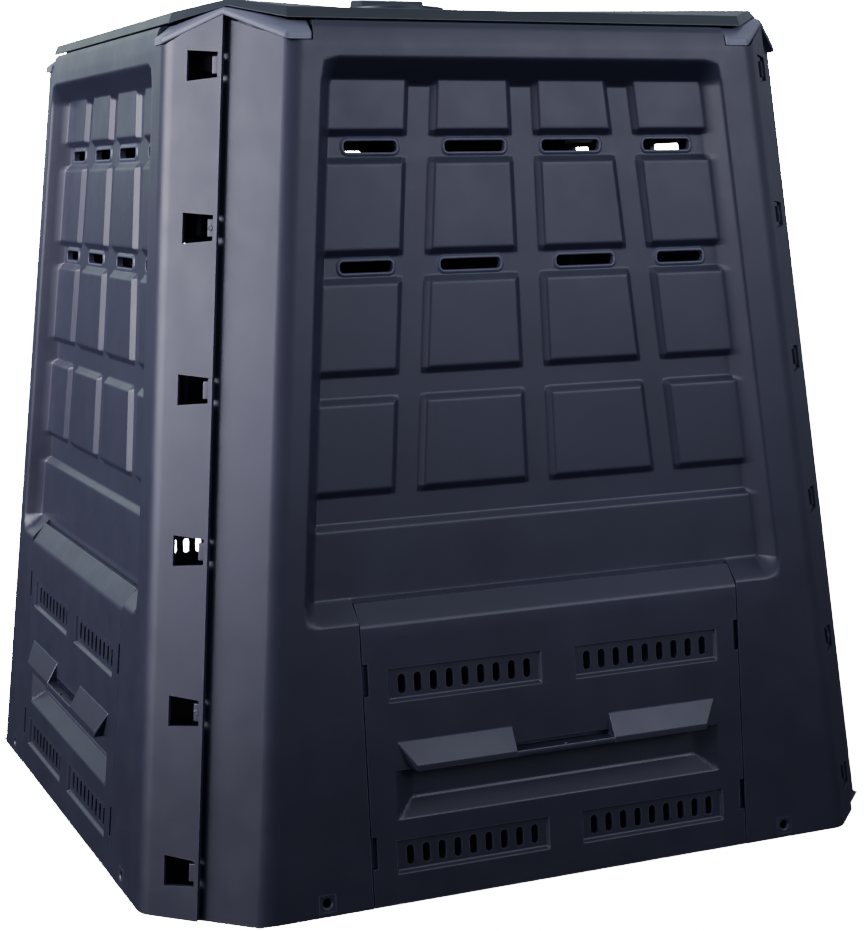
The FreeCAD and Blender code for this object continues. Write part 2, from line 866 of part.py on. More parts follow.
def make_dial():
    """The vent dial: a disc with air windows, a pointed grip, and the shaft that it turns on.

    The shaft is round in the lid and square below it, where the clip holds it.
    """
    low = lid_crown + dial_gap
    rim = [Vector(x, y, low) for x, y in flat_sided(dial_radius, dial_sides)]
    disc = Part.Face(Part.makePolygon(rim + [rim[0]])).extrude(Vector(0, 0, dial_top - low))
    disc = disc.cut(air_windows(low - overrun, dial_top + overrun))
    w = grip_half_width
    plan = [(-grip_long_end, 0.0), (-grip_long_end + w, -w), (grip_short_end, -w), (grip_short_end, w),
            (-grip_long_end + w, w)]
    start = [Vector(x, y, dial_top - weld) for x, y in plan]
    end = [Vector(grip_top_share * x, grip_top_narrowing * y, grip_top) for x, y in plan]
    grip = between(start, end, split=True)
    neck = lid_crown - lid_thickness
    shaft = Part.makeCylinder(dial_shaft_radius, low + weld - neck, Vector(0, 0, neck))
    half = tail_half_width
    foot = clip_bottom() - shaft_tail
    tail = box(-half, half, -half, half, foot, neck + weld)
    return fuse_all(disc, [grip, shaft, tail])


def clip_bottom():
    return lid_crown - lid_thickness - dial_gap - clip_thickness


def make_dial_clip():
    """Square clip that holds the dial's shaft under the lid."""
    low = clip_bottom()
    wide = clip_half_width
    half = tail_half_width
    plate = box(-wide, wide, -wide, wide, low, low + clip_thickness)
    return plate.cut(box(-half, half, -half, half, low - overrun, low + clip_thickness + overrun))


def make_bracket(side):
    """Hinge bracket on the back wall: a plate with two lugs for the pin."""
    x = side * hinge_offset
    gap = knuckle_width / 2.0 + hinge_side_gap
    wide = gap + bracket_lug_width
    low = bracket_foot
    high = bracket_foot + bracket_height
    t = bracket_thickness
    plate = along_x([(0.0, low), (0.0, high), (-t, high), (-t, low)], -wide, wide)
    plate.rotate(Vector(0, 0, 0), Vector(0, 0, 1), 180.0)
    plate.translate(Vector(x, 0, 0))
    y = hinge_axis_y()
    z = hinge_axis_height
    lugs = []
    for end in (-1, 1):
        x0 = x + (gap if end > 0 else -wide)
        eye = moulded_eye(knuckle_radius, x0, bracket_lug_width)
        root = half_width(high)
        outline = [
            Vector(x0, half_width(low), low), Vector(x0, half_width(low) + t, low),
            Vector(x0, y + knuckle_radius, z), Vector(x0, y - knuckle_radius, z), Vector(x0, root, high)]
        arm = Part.Face(Part.makePolygon(outline + [outline[0]])).extrude(Vector(bracket_lug_width, 0, 0))
        lugs.extend([eye, arm])
    body = fuse_all(plate, lugs)
    return body.cut(moulded_eye(hinge_pin_radius + pin_seat_gap, x - wide - overrun, 2.0 * (wide + overrun)))


def make_pin(side):
    """Hinge pin with a head at its outer end."""
    wide = knuckle_width / 2.0 + hinge_side_gap + bracket_lug_width
    start = side * hinge_offset - wide
    y = hinge_axis_y()
    z = hinge_axis_height
    pin = Part.makeCylinder(hinge_pin_radius, 2.0 * wide, Vector(start, y, z), Vector(1, 0, 0))
    head_x = start - pin_head_thickness if side < 0 else start + 2.0 * wide
    head = moulded_eye(pin_head_radius, head_x, pin_head_thickness)
    return fuse_all(pin, [head])


def turned(shape, turn):
    """The shape turned about the bin's axis by a number of quarter turns."""
    copy = shape.copy()
    copy.rotate(Vector(0, 0, 0), Vector(0, 0, 1), 90.0 * turn)
    return copy


def build():
    nodes = {}
    wall = make_wall()
    hatch = make_hatch()
    cap = make_cap()
    corners = ("front_right", "back_right", "back_left", "front_left")
    for turn, name in enumerate(("front", "right", "back", "left")):
        nodes["wall_" + name] = turned(wall, turn)
        nodes["hatch_" + name] = turned(hatch, turn)
        nodes["corner_cap_" + corners[turn]] = turned(cap, turn)
    nodes["lid"] = make_lid()
    nodes["vent_dial"] = make_dial()
    nodes["dial_clip"] = make_dial_clip()
    for side, name in ((-1, "left"), (1, "right")):
        nodes["hinge_bracket_" + name] = make_bracket(side)
        nodes["hinge_pin_" + name] = make_pin(side)
    return nodes


os.makedirs("parts", exist_ok=True)
triangles = 0
for name, shape in build().items():
    shape.exportStep(os.path.join("parts", name + ".step"))
    count = MeshPart.meshFromShape(Shape=shape, LinearDeflection=0.2, AngularDeflection=0.5).CountFacets
    triangles += count
    print(name, "solids", len(shape.Solids), "valid", shape.isValid(), "volume cm3",
          round(shape.Volume / 1000.0, 1), "triangles", count)
print("triangles in all", triangles)
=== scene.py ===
import math

import bmesh
import bpy
from bpy.props import FloatProperty, FloatVectorProperty, IntProperty, PointerProperty
from bpy.types import Operator, Panel, PropertyGroup
from mathutils import Matrix, Vector


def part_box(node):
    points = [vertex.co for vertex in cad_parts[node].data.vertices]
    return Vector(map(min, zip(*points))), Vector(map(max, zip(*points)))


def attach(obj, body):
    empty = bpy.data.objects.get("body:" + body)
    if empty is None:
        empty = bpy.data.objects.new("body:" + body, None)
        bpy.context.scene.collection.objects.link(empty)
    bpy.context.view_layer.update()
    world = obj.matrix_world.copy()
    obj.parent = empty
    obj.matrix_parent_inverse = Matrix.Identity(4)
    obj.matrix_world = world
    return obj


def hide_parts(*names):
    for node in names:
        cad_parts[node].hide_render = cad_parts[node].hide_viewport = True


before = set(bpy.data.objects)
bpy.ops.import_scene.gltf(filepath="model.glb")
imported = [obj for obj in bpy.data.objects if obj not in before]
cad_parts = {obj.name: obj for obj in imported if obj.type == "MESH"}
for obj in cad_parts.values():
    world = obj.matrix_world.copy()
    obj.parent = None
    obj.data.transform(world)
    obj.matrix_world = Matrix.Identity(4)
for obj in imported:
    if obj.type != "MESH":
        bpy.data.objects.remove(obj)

bl_info = {
    "name": "Garden compost bin",
    "version": (1, 0, 0),
    "blender": (4, 5, 0),
    "location": "View3D > Sidebar > Compost bin",
    "description": "Builds the moulded walls, hatches, corner caps, lid and hinges of a garden compost bin",
    "category": "Add Mesh",
}

MM = 0.001
SIDES = ("front", "right", "back", "left")
CORNERS = ("front_right", "back_right", "back_left", "front_left")

# The photograph's camera: its place, its turn as an axis whose length is the angle in radians, and
# its lens and the width of its frame in millimetres
CAMERA_PLACE = (-0.82176, -1.97865, 0.66570)
CAMERA_TURN = (0.143388, -0.045308, 0.409840)
CAMERA_LENS = 80.41
CAMERA_FRAME = 36.0

# The studio's softboxes: name, place, target, width and height, watts and colour
SOFTBOXES = (
    ("Left softbox", (-6.2, 0.1, 2.2), (-0.2, 0.0, 0.6), (4.6, 2.5), 560.0, (0.95, 0.92, 1.14)),
    ("Front light", (1.55, -3.1, 1.75), (0.0, -0.3, 0.6), (2.6, 1.3), 37.0, (0.82, 0.84, 1.10)),
    ("Back light", (-0.5, 3.6, 1.6), (0.0, 0.0, 0.5), (2.6, 1.6), 11.0, (0.80, 1.0, 0.95)),
)
FLOOR_LIGHT = 130.0
FLOOR_LIGHT_ANGLE = 60.0
FLOOR_DROP = 0.2 * MM
# How many times as wide as the bin the floor is
FLOOR_REACH = 36.0
# The dome's colours towards the ground and above, and the brightness of the white behind the bin
DOME_LOW = (0.02, 0.022, 0.03, 1.0)
DOME_HIGH = (0.46, 0.50, 0.60, 1.0)
BACKDROP = 60.0

# Rounding where a face turns into a draft, as a share of the draft's width
RECESS_ROUNDING = 0.10
DRAFT_ROUNDING = 0.2
# Lines of points lie this far beyond a window's edges, so that its corners stay sharp
WINDOW_GUARD = 1.6 * MM
FOLD_STEPS = 7
# How far small parts reach into the sheet that they stand on
SUNK = 0.5 * MM
# Width of a moulding's edge that is made paler, partly as wear and partly as a painted highlight
PALE_EDGE_WIDTH = 1.6 * MM

WALL_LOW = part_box("wall_front")[0]
HATCH_LOW, HATCH_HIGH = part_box("hatch_front")


def length(name, description, default):
    """A size in metres that a user can change."""
    return FloatProperty(
        name=name, description=description, default=default, soft_min=0.0, subtype="DISTANCE",
        unit="LENGTH")


def colour(name, description, default):
    """A colour that a user can change."""
    return FloatVectorProperty(
        name=name, description=description, default=default, size=3, min=0.0, max=1.0, subtype="COLOR")


class BinSizes(PropertyGroup):
    """Overall sizes of the bin."""

    foot_half_width: length("Foot half width", "From the middle to a wall at the ground", -WALL_LOW.y)
    rim_half_width: length("Rim half width", "From the middle to a wall at the rim", 326 * MM)
    rim_height: length("Rim height", "Top of the walls' straight rim", 806 * MM)
    roll_start: length("Roll start", "Where a wall's face starts to roll in to its rim", 782 * MM)
    seat_height: length("Cap seat", "Top of a wall under the corner caps", 788 * MM)
    gable_rise: length("Gable rise", "How much higher a wall is at the corner's seam", 24 * MM)
    plain_drop: length("Plain flange drop", "How much lower the other flange ends at the seam", 3 * MM)
    rim_setback: length("Rim setback", "How far the rim leans in", 6 * MM)
    shelf_width: length("Shelf width", "Depth of the level shelf behind the rim", 22 * MM)
    cap_arm: length("Cap arm", "Length of a corner cap's arm along a wall", 24 * MM)
    cap_gap: length("Cap gap", "Gap between a cap's arm and the rim", 1.4 * MM)
    wall_thickness: length("Wall thickness", "Thickness of the moulded sheet", 4 * MM)
    corner_cut: length("Corner cut", "How much the chamfer takes off each wall", 88 * MM)
    fold_radius: length("Fold radius", "Outer radius of the fold beside the chamfer", 26 * MM)
    edge_radius: length("Edge radius", "Rounding of the moulding's free edges", 0.8 * MM)


class JointSizes(PropertyGroup):
    """Sizes of the seam where two walls hook into each other."""

    window_stand: length("Windowed flange", "How far the flange with windows stands out", 3 * MM)
    plain_set_back: length("Plain flange", "How far the other flange is set back", 5 * MM)
    tongue_reach: length("Tongue reach", "How far the tongue goes behind the windowed flange", 3.5 * MM)
    tongue_step: length("Tongue step", "How much further back the tongue lies", 2 * MM)
    groove_width: length("Groove", "Width of the dark groove beside the seam", 2.5 * MM)
    window_near: length("Window bar", "Bar between a window and the seam", 4 * MM)
    window_width: length("Window width", "Width of a window", 31 * MM)
    window_height: length("Window height", "Height of a window at its far side", 28 * MM)
    window_taper: length("Window taper", "How much a window narrows to the seam at each edge", 2.5 * MM)
    window_first: length("First window", "Height of the lowest window's middle", 43 * MM)
    window_last: length("Last window", "Height of the highest window's middle", 768 * MM)
    window_count: IntProperty(name="Windows", description="Number of windows", default=6, min=2)
    hook_height: length("Hook height", "Height of a hook", 16 * MM)
    hook_width: length("Hook width", "Width of a hook", 6 * MM)
    hook_stand: length("Hook stand", "How far a hook stands out of the tongue", 6.5 * MM)
    hook_eye: length("Hook eye", "Diameter of the eye in some hooks", 3.2 * MM)


class ReliefSizes(PropertyGroup):
    """Sizes of the recess in a wall and what stands in it."""

    margin: length("Recess margin", "From the corner's edge line to the recess", 122.5 * MM)
    side_draft: length("Side draft", "Width of the recess's sloping side", 16.5 * MM)
    top: length("Recess top", "Upper edge of the recess", 773 * MM)
    top_draft: length("Top draft", "Height of the recess's sloping top", 24 * MM)
    bottom: length("Recess bottom", "Lower edge of the recess", 264 * MM)
    sill_rise: length("Sill rise", "Height of the sloping sill", 19 * MM)
    depth: length("Recess depth", "Depth of the recess's floor", 24 * MM)
    land_depth: length("Block depth", "Depth of the raised blocks' tops", 18.3 * MM)
    ledge: length("Band top", "Top of the plain band over the hatch", 346 * MM)
    first_block: length("First block", "Lower edge of the lowest blocks", 381.5 * MM)
    short_row: length("Short row", "Lower edge of the highest blocks", 709 * MM)
    block_gap: length("Block gap", "Gap between two rows of blocks", 30.7 * MM)
    block_draft: length("Block draft", "Width of a block's sloping side", 6 * MM)
    block_corner: length("Block corner", "Radius of a block's corner", 5.5 * MM)
    channel: length("Channel", "Half width of the upright channels at their floor", 10.6 * MM)
    column_margin: length("Column margin", "From the corner's edge line to the outer channel", 227.5 * MM)
    block_rows: IntProperty(name="Block rows", description="Rows of full blocks", default=3, min=1)
    slot_height: length("Slot height", "Height of a vent slot", 10 * MM)
    slot_bead: length("Slot bead", "Width of the rounded bead round a vent slot", 5.2 * MM)
    slot_bead_stand: length("Bead stand", "How far the bead stands out", 2.0 * MM)
    inner_slot_gap: length("Inner slot gap", "From the outer channel to the inner slot", 27.5 * MM)
    inner_slot: length("Inner slot", "Length of an inner slot", 61.5 * MM)
    outer_slot_gap: length("Outer slot gap", "From the outer channel to the outer slot", 21.7 * MM)
    outer_slot: length("Outer slot", "Length of an outer slot", 51.5 * MM)
    peg_hole: length("Peg hole", "Diameter of a ground peg's hole", 8 * MM)
    peg_rim: length("Peg rim", "Width of the sunk rim round a peg hole", 1.6 * MM)
    peg_place: length("Peg place", "From a wall's middle to its peg holes", 246 * MM)
    peg_height: length("Peg height", "Height of the peg holes", 12.5 * MM)


class HatchSizes(PropertyGroup):
    """Sizes of a hatch."""

    half_width: length("Hatch half width", "Half the hatch's width", 200 * MM)
    side_gap: length("Side gap", "Gap beside the hatch", 1.2 * MM)
    foot: length("Hatch foot", "Lower edge of the hatch", HATCH_LOW.z)
    bend: length("Hatch bend", "Where the hatch's top bends in", 260 * MM)
    top: length("Hatch top", "Upper edge of the hatch", HATCH_HIGH.z)
    top_depth: length("Top depth", "How far in the upper edge lies", 13.7 * MM)
    thickness: length("Hatch thickness", "Thickness of the hatch's sheet", 3.5 * MM)
    rim_depth: length("Rim depth", "Depth of the rim behind the hatch", 12 * MM)
    lug_reach: length("Lug reach", "How far the lugs stand out sideways", 6 * MM)
    lug_height: length("Lug height", "Height of a lug", 30 * MM)
    lower_lug: length("Lower lug", "Lower edge of the lower lug", 36 * MM)
    upper_lug: length("Upper lug", "Lower edge of the upper lug", 196 * MM)
    notch: length("Notch", "Depth of the notches in the hatch's sides", 5 * MM)
    pocket_floor: length("Pocket floor", "Lower edge of the grip pocket", 79 * MM)
    pocket_slope: length("Pocket slope", "Height of the pocket's sloping floor", 15.5 * MM)
    pocket_bead: length("Pocket bead", "Height of the fine bead along the pocket's bend", 0.9 * MM)
    pocket_depth: length("Pocket depth", "Depth of the grip pocket", 13.5 * MM)
    pocket_half: length("Pocket half width", "Half the pocket's width", 172 * MM)
    pocket_draft: length("Pocket end", "Width of the pocket's sloping ends", 20 * MM)
    hood_under: length("Hood underside", "Lower edge of the hoods", 124 * MM)
    hood_lip: length("Hood lip", "Top of the hoods' upright lip", 130 * MM)
    hood_top: length("Hood top", "Where the hoods meet the hatch's face", 151 * MM)
    hood_stand: length("Hood stand", "How far the hoods stand out", 10 * MM)
    hood_half_low: length("Hood lower end", "From the middle to a hood's lower end", 155 * MM)
    hood_half_high: length("Hood upper end", "From the middle to a hood's upper end", 170 * MM)
    gap_half: length("Finger gap", "Half the gap between the hoods", 52 * MM)
    gap_depth: length("Gap depth", "Depth of the slot over the bar", 8 * MM)
    gap_height: length("Gap height", "Height of the slot over the bar", 5 * MM)
    hood_round: length("Hood rounding", "Rounding of the hoods' edges", 1.3 * MM)
    grille_start: length("Grille start", "Inner end of a grille", 18.5 * MM)
    grille_end: length("Grille end", "Outer end of a grille", 175 * MM)
    grille_half_height: length("Grille half height", "Half a grille's height", 15.5 * MM)
    grille_recess: length("Grille recess", "Depth of a grille's recess", 3.4 * MM)
    lower_grille: length("Lower grille", "Height of the lower grilles' middle", 44 * MM)
    upper_grille: length("Upper grille", "Height of the upper grilles' middle", 203.5 * MM)
    slot_first: length("First slot", "From the middle to the first grille slot", 32 * MM)
    slot_pitch: length("Slot pitch", "Distance between grille slots", 16.1 * MM)
    slot_width: length("Slot width", "Width of a grille slot", 7.6 * MM)
    slot_height: length("Grille slot height", "Height of a grille slot", 18.5 * MM)
    slot_count: IntProperty(name="Slots", description="Slots in a grille", default=9, min=1)


class BinColours(PropertyGroup):
    """Colours of the mouldings and the studio."""

    wall: colour("Walls", "Colour of the walls", (0.027, 0.028, 0.047))
    # The beads are the walls' own plastic; their paler colour is a painted highlight.
    highlit_bead: colour("Slot beads", "Colour of the beads round the vent slots", (0.066, 0.069, 0.100))
    hatch: colour("Hatches", "Colour of the hatches", (0.027, 0.028, 0.047))
    lid: colour("Lid", "Colour of the lid and the dial", (0.022, 0.029, 0.034))
    # The caps are of the walls' dark plastic; their much paler colour is painted light, standing in for the
    # light they catch and reflect.
    lit_cap: colour("Corner caps", "Colour of the corner caps", (0.150, 0.156, 0.198))
    # The skirts' near-black colour is painted shade on the caps' plastic.
    shaded_skirt: colour("Cap skirts", "Colour of the caps' skirts inside the corners", (0.010, 0.009, 0.013))
    fitting: colour("Fittings", "Colour of hinges and clip", (0.022, 0.023, 0.030))
    floor: colour("Floor", "Colour of the studio floor", (0.86, 0.86, 0.86))
    # The ground inside the bin is made dark as painted shade.
    shaded_ground: colour("Ground", "Colour of the ground inside the bin", (0.03, 0.028, 0.026))


def bin_sizes():
    return bpy.context.scene.bin_sizes


def joint_sizes():
    return bpy.context.scene.joint_sizes


def relief_sizes():
    return bpy.context.scene.relief_sizes


def hatch_sizes():
    return bpy.context.scene.hatch_sizes


def half_width(z):
    """Distance from the bin's axis to the outer face of a wall at height z."""
    sizes = bin_sizes()
    lean = (sizes.foot_half_width - sizes.rim_half_width) / sizes.rim_height
    return sizes.foot_half_width - lean * z


def on_wall(u, z, depth):
    """A point of the front wall: u from its middle, z up, depth in from its leaning face."""
    return Vector((u, depth - half_width(z), z))


def wall_place(side=1):
    """A function that puts a point given as across, depth and height on the front wall."""
    return lambda u, depth, z: on_wall(side * u, z, depth)


def at_corner(side, along, outward, z):
    """A point by the seam at the front wall's right (side 1) or left (side -1) corner."""
    seam = half_width(z) - bin_sizes().corner_cut / 2.0
    across = (along + outward) / math.sqrt(2.0)
    back = (along - outward) / math.sqrt(2.0)
    return Vector((side * (seam + across), back - seam, z))


def fold_point(side, cut, radius, share, z):
    """A point round a fold; share goes from 0 on the wall's face to 1 on the flange."""
    bend = bin_sizes().fold_radius
    start = half_width(z) - cut - bend * math.tan(math.radians(22.5))
    angle = math.radians(45.0 * share)
    return Vector((
        side * (start + radius * math.sin(angle)), bend - half_width(z) - radius * math.cos(angle), z))


def soft_step(t, rounding):
    """Goes from 0 to 1 as t does, straight in the middle and rounded over rounding at both ends."""
    if t <= -rounding:
        return 0.0
    if t < rounding:
        return (t + rounding) ** 2 / (4.0 * rounding)
    if t <= 1.0 - rounding:
        return t
    if t < 1.0 + rounding:
        return 1.0 - (1.0 + rounding - t) ** 2 / (4.0 * rounding)
    return 1.0


def soft_min(a, b, blend):
    """The smaller of two depths, with the corner between them filled over blend."""
    share = max(blend - abs(a - b), 0.0) / blend
    return min(a, b) - share * share * blend / 4.0


def inside_corner(a, b, radius):
    """Distance inside a corner of that radius, from the distances to its two sides."""
    if a < radius and b < radius:
        return radius - math.hypot(radius - a, radius - b)
    return min(a, b)


def spread(values, step):
    """The values in order, with more between them so that no gap is over step."""
    values = sorted(values)
    lines = [values[0]]
    for value in values[1:]:
        gap = value - lines[-1]
        if gap < 0.05 * MM:
            continue
        parts = max(1, math.ceil(gap / step))
        start = lines[-1]
        lines.extend(start + gap * i / parts for i in range(1, parts + 1))
    return lines


def sheet_mesh(outer, inner, keep):
    """A closed moulded sheet from two grids of points; keep says which cells of the grid it has."""
    rows = len(outer)
    columns = len(outer[0])
    mesh = bmesh.new()
    corners = {}

    def corner(layer, r, c):
        if (layer, r, c) not in corners:
            grid = outer if layer == 0 else inner
            corners[layer, r, c] = mesh.verts.new(grid[r][c])
        return corners[layer, r, c]

    kept = {(r, c) for r in range(rows - 1) for c in range(columns - 1) if keep(r, c)}
    for r, c in sorted(kept):
        loop = ((r, c), (r, c + 1), (r + 1, c + 1), (r + 1, c))
        mesh.faces.new([corner(0, *spot) for spot in loop])
        mesh.faces.new([corner(1, *spot) for spot in reversed(loop)])
        beside = ((r - 1, c), (r, c + 1), (r + 1, c), (r, c - 1))
        for i in range(4):
            if beside[i] not in kept:
                start = loop[i]
                end = loop[(i + 1) % 4]
                mesh.faces.new([corner(0, *end), corner(0, *start), corner(1, *start), corner(1, *end)])
    return mesh


def round_edges(mesh, radius, angle, segments=2):
    """Rounds every edge that turns by more than angle degrees."""
    limit = math.radians(angle)
    edges = [edge for edge in mesh.edges if len(edge.link_faces) == 2 and edge.calc_face_angle(0.0) > limit]
    bmesh.ops.bevel(
        mesh, geom=edges, offset=radius, offset_type="OFFSET", segments=segments, profile=0.5,
        affect="EDGES", clamp_overlap=False, miter_outer="SHARP")


def add_block(mesh, low, high, place, radius):
    """Adds a small rounded block with corners low and high, each point put in place by place(x, y, z)."""
    part = bmesh.new()
    bmesh.ops.create_cube(part, size=1.0)
    for vert in part.verts:
        share = vert.co + Vector((0.5, 0.5, 0.5))
        vert.co = Vector(low[i] + share[i] * (high[i] - low[i]) for i in range(3))
    bmesh.ops.bevel(
        part, geom=part.edges[:], offset=radius, segments=2, profile=0.5, affect="EDGES",
        clamp_overlap=True)
    for vert in part.verts:
        vert.co = place(*vert.co)
    add_part(mesh, part)


def add_part(mesh, part):
    """Moves the faces of one bmesh into another."""
    bmesh.ops.recalc_face_normals(part, faces=part.faces[:])
    spare = bpy.data.meshes.new("spare")
    part.to_mesh(spare)
    part.free()
    mesh.from_mesh(spare)
    bpy.data.meshes.remove(spare)


def new_piece(name, mesh, material, turn=0):
    """Makes an object of a bmesh, turned by quarter turns about the bin's axis."""
    data = bpy.data.meshes.new(name)
    mesh.to_mesh(data)
    data.transform(Matrix.Rotation(math.radians(90.0 * turn), 4, "Z"))
    for face in data.polygons:
        face.use_smooth = True
    data.set_sharp_from_angle(angle=math.radians(38.0))
    data.materials.append(material)
    piece = bpy.data.objects.new(name, data)
    bpy.context.scene.collection.objects.link(piece)
    flatten = piece.modifiers.new("Flat faces", "WEIGHTED_NORMAL")
    flatten.keep_sharp = True
    return piece


# Walls

def block_rows():
    """Lower and upper edge of each row of full blocks, at their tops."""
    relief = relief_sizes()
    pitch = (relief.short_row - relief.first_block) / relief.block_rows
    rows = []
    for i in range(relief.block_rows):
        low = relief.first_block + i * pitch
        rows.append((low, low + pitch - relief.block_gap))
    return rows


def recess_depth(u, z):
    """Depth of the bare recess."""
    relief = relief_sizes()
    side = (half_width(z) - relief.margin - abs(u)) / relief.side_draft
    top = (relief.top - z) / relief.top_draft
    sill = (z - relief.bottom) / (relief.sill_rise * relief.depth / relief.land_depth)
    t = 1.0 - math.hypot(max(0.0, 1.0 - side), max(0.0, 1.0 - min(top, sill)))
    return relief.depth * soft_step(t, RECESS_ROUNDING)


def land_depth(u, z):
    """Depth of the blocks and bands that stand in the recess, and of its floor between them."""
    relief = relief_sizes()
    draft = relief.block_draft
    column = half_width(z) - relief.column_margin
    channel = min(abs(u), abs(abs(u) - column))
    rows = block_rows()
    inside = relief.ledge + draft - z
    for low, high in rows:
        level = min(z - low + draft, high + draft - z)
        if level > -draft:
            inside = max(inside, inside_corner(channel - relief.channel, level, relief.block_corner))
    level = z - relief.short_row + draft
    if level > -draft:
        inside = max(inside, inside_corner(channel - relief.channel, level, relief.block_corner))
    return relief.depth - (relief.depth - relief.land_depth) * soft_step(inside / draft, DRAFT_ROUNDING)


def wall_depth(u, z):
    """Depth of the wall's outer face behind its leaning plane."""
    relief = relief_sizes()
    if z < relief.bottom - 4 * MM or z > relief.top + 4 * MM:
        return 0.0
    return soft_min(recess_depth(u, z), land_depth(u, z), 1.0 * MM)


def slot_spans(z):
    """Ends of the four vent slots at height z."""
    relief = relief_sizes()
    column = half_width(z) - relief.column_margin
    inner = column - relief.inner_slot_gap
    outer = column + relief.outer_slot_gap
    spans = [(inner - relief.inner_slot, inner), (outer, outer + relief.outer_slot)]
    return spans + [(-right, -left) for left, right in spans]


def slot_heights():
    """Heights of the two rows of vent slots."""
    relief = relief_sizes()
    return [high + relief.block_gap / 2.0 for _, high in block_rows()[1:]]


def window_heights():
    """Heights of the middles of the corner flange's windows."""
    joint = joint_sizes()
    step = (joint.window_last - joint.window_first) / (joint.window_count - 1)
    return [joint.window_first + i * step for i in range(joint.window_count)]


def draft_steps(last):
    """Distances from a block's foot at which its draft needs lines of points."""
    draft = relief_sizes().block_draft
    turn = DRAFT_ROUNDING * draft
    return [-turn, 0.0, turn, draft - turn, draft, draft + turn, draft + 2.5 * turn, draft + last * turn]


def wall_rows():
    """Heights of the wall's rows of points, close together where its relief turns."""
    sizes = bin_sizes()
    relief = relief_sizes()
    joint = joint_sizes()
    draft = relief.block_draft
    steps = draft_steps(4.5)
    marks = [0.0, 2.0 * MM, sizes.roll_start, sizes.seat_height]
    for z in window_heights():
        half = joint.window_height / 2.0
        marks += [z - half - WINDOW_GUARD, z - half, z + half, z + half + WINDOW_GUARD]
    for k in (-0.12, 0.0, 0.12, 0.35, 0.65, 0.9, 1.0, 1.1):
        marks.append(relief.bottom + k * relief.sill_rise)
    marks += [relief.ledge + draft - k for k in steps]
    for low, high in block_rows():
        marks += [low - draft + k for k in steps]
        marks += [high + draft - k for k in steps]
    marks += [relief.short_row - draft + k for k in steps]
    for k in (-0.12, -0.05, 0.0, 0.05, 0.12, 0.4, 0.7, 0.74, 0.78, 0.82, 0.88, 0.94, 1.0, 1.06, 1.12, 1.3):
        marks.append(relief.top - k * relief.top_draft)
    return tidy_lines(marks, 0.7 * MM, 30 * MM)


def tidy_lines(marks, least, most):
    """Sorted lines with none nearer than least to the one before, and more where a gap is over most."""
    lines = []
    for mark in sorted(marks):
        if not lines or mark - lines[-1] >= least:
            lines.append(mark)
    return spread(lines, most)


def face_columns():
    """Columns of one half of the wall's face, from its middle to its fold.

    Each is a function of height: some stand at fixed distances, some follow the channel between
    the blocks and some the wall's leaning edge, and the rest share what is between.
    """
    sizes = bin_sizes()
    relief = relief_sizes()
    hatch = hatch_sizes()
    channel = draft_steps(5.0)
    middle = [0.0, relief.channel / 2.0] + [relief.channel + k for k in channel]
    by_column = sorted({s * (relief.channel + k) for s in (-1, 1) for k in channel} | {0.0})
    side = relief.side_draft
    by_edge = [relief.margin + k * side for k in (1.9, 1.5, 1.1, 1.0, 0.9, 0.7, 0.4, 0.12, 0.0, -0.12)]
    column_line = lambda z: half_width(z) - relief.column_margin
    jamb = hatch.half_width + hatch.side_gap
    sill_top = relief.bottom + relief.sill_rise
    columns = [lambda z, k=k: k for k in middle]
    last = middle[-1]
    first = by_column[0]
    between = 3
    for i in range(1, between + 1):
        share = i / (between + 1.0)
        columns.append(lambda z, s=share: last + (column_line(z) + first - last) * s)
    columns += [lambda z, k=k: column_line(z) + k for k in by_column]
    start = lambda z: column_line(z) + by_column[-1]
    finish = lambda z: half_width(z) - by_edge[0]
    natural = (jamb - start(sill_top)) / (finish(sill_top) - start(sill_top))

    def jamb_line(z):
        if z <= sill_top:
            return jamb
        return start(z) + (finish(z) - start(z)) * natural

    for share in (0.25, 0.5, 0.75):
        columns.append(lambda z, s=share: start(z) + (jamb_line(z) - start(z)) * s)
    columns.append(jamb_line)
    columns.append(lambda z: jamb_line(z) + min(2.0 * MM, 0.3 * (finish(z) - jamb_line(z))))
    guard = columns[-1]
    for share in (0.35, 0.7):
        columns.append(lambda z, s=share: guard(z) + (finish(z) - guard(z)) * s)
    columns += [lambda z, k=k: half_width(z) - k for k in by_edge]
    rim_line = sizes.corner_cut + sizes.cap_arm + sizes.cap_gap
    columns.append(lambda z: half_width(z) - rim_line)
    return columns, rim_line


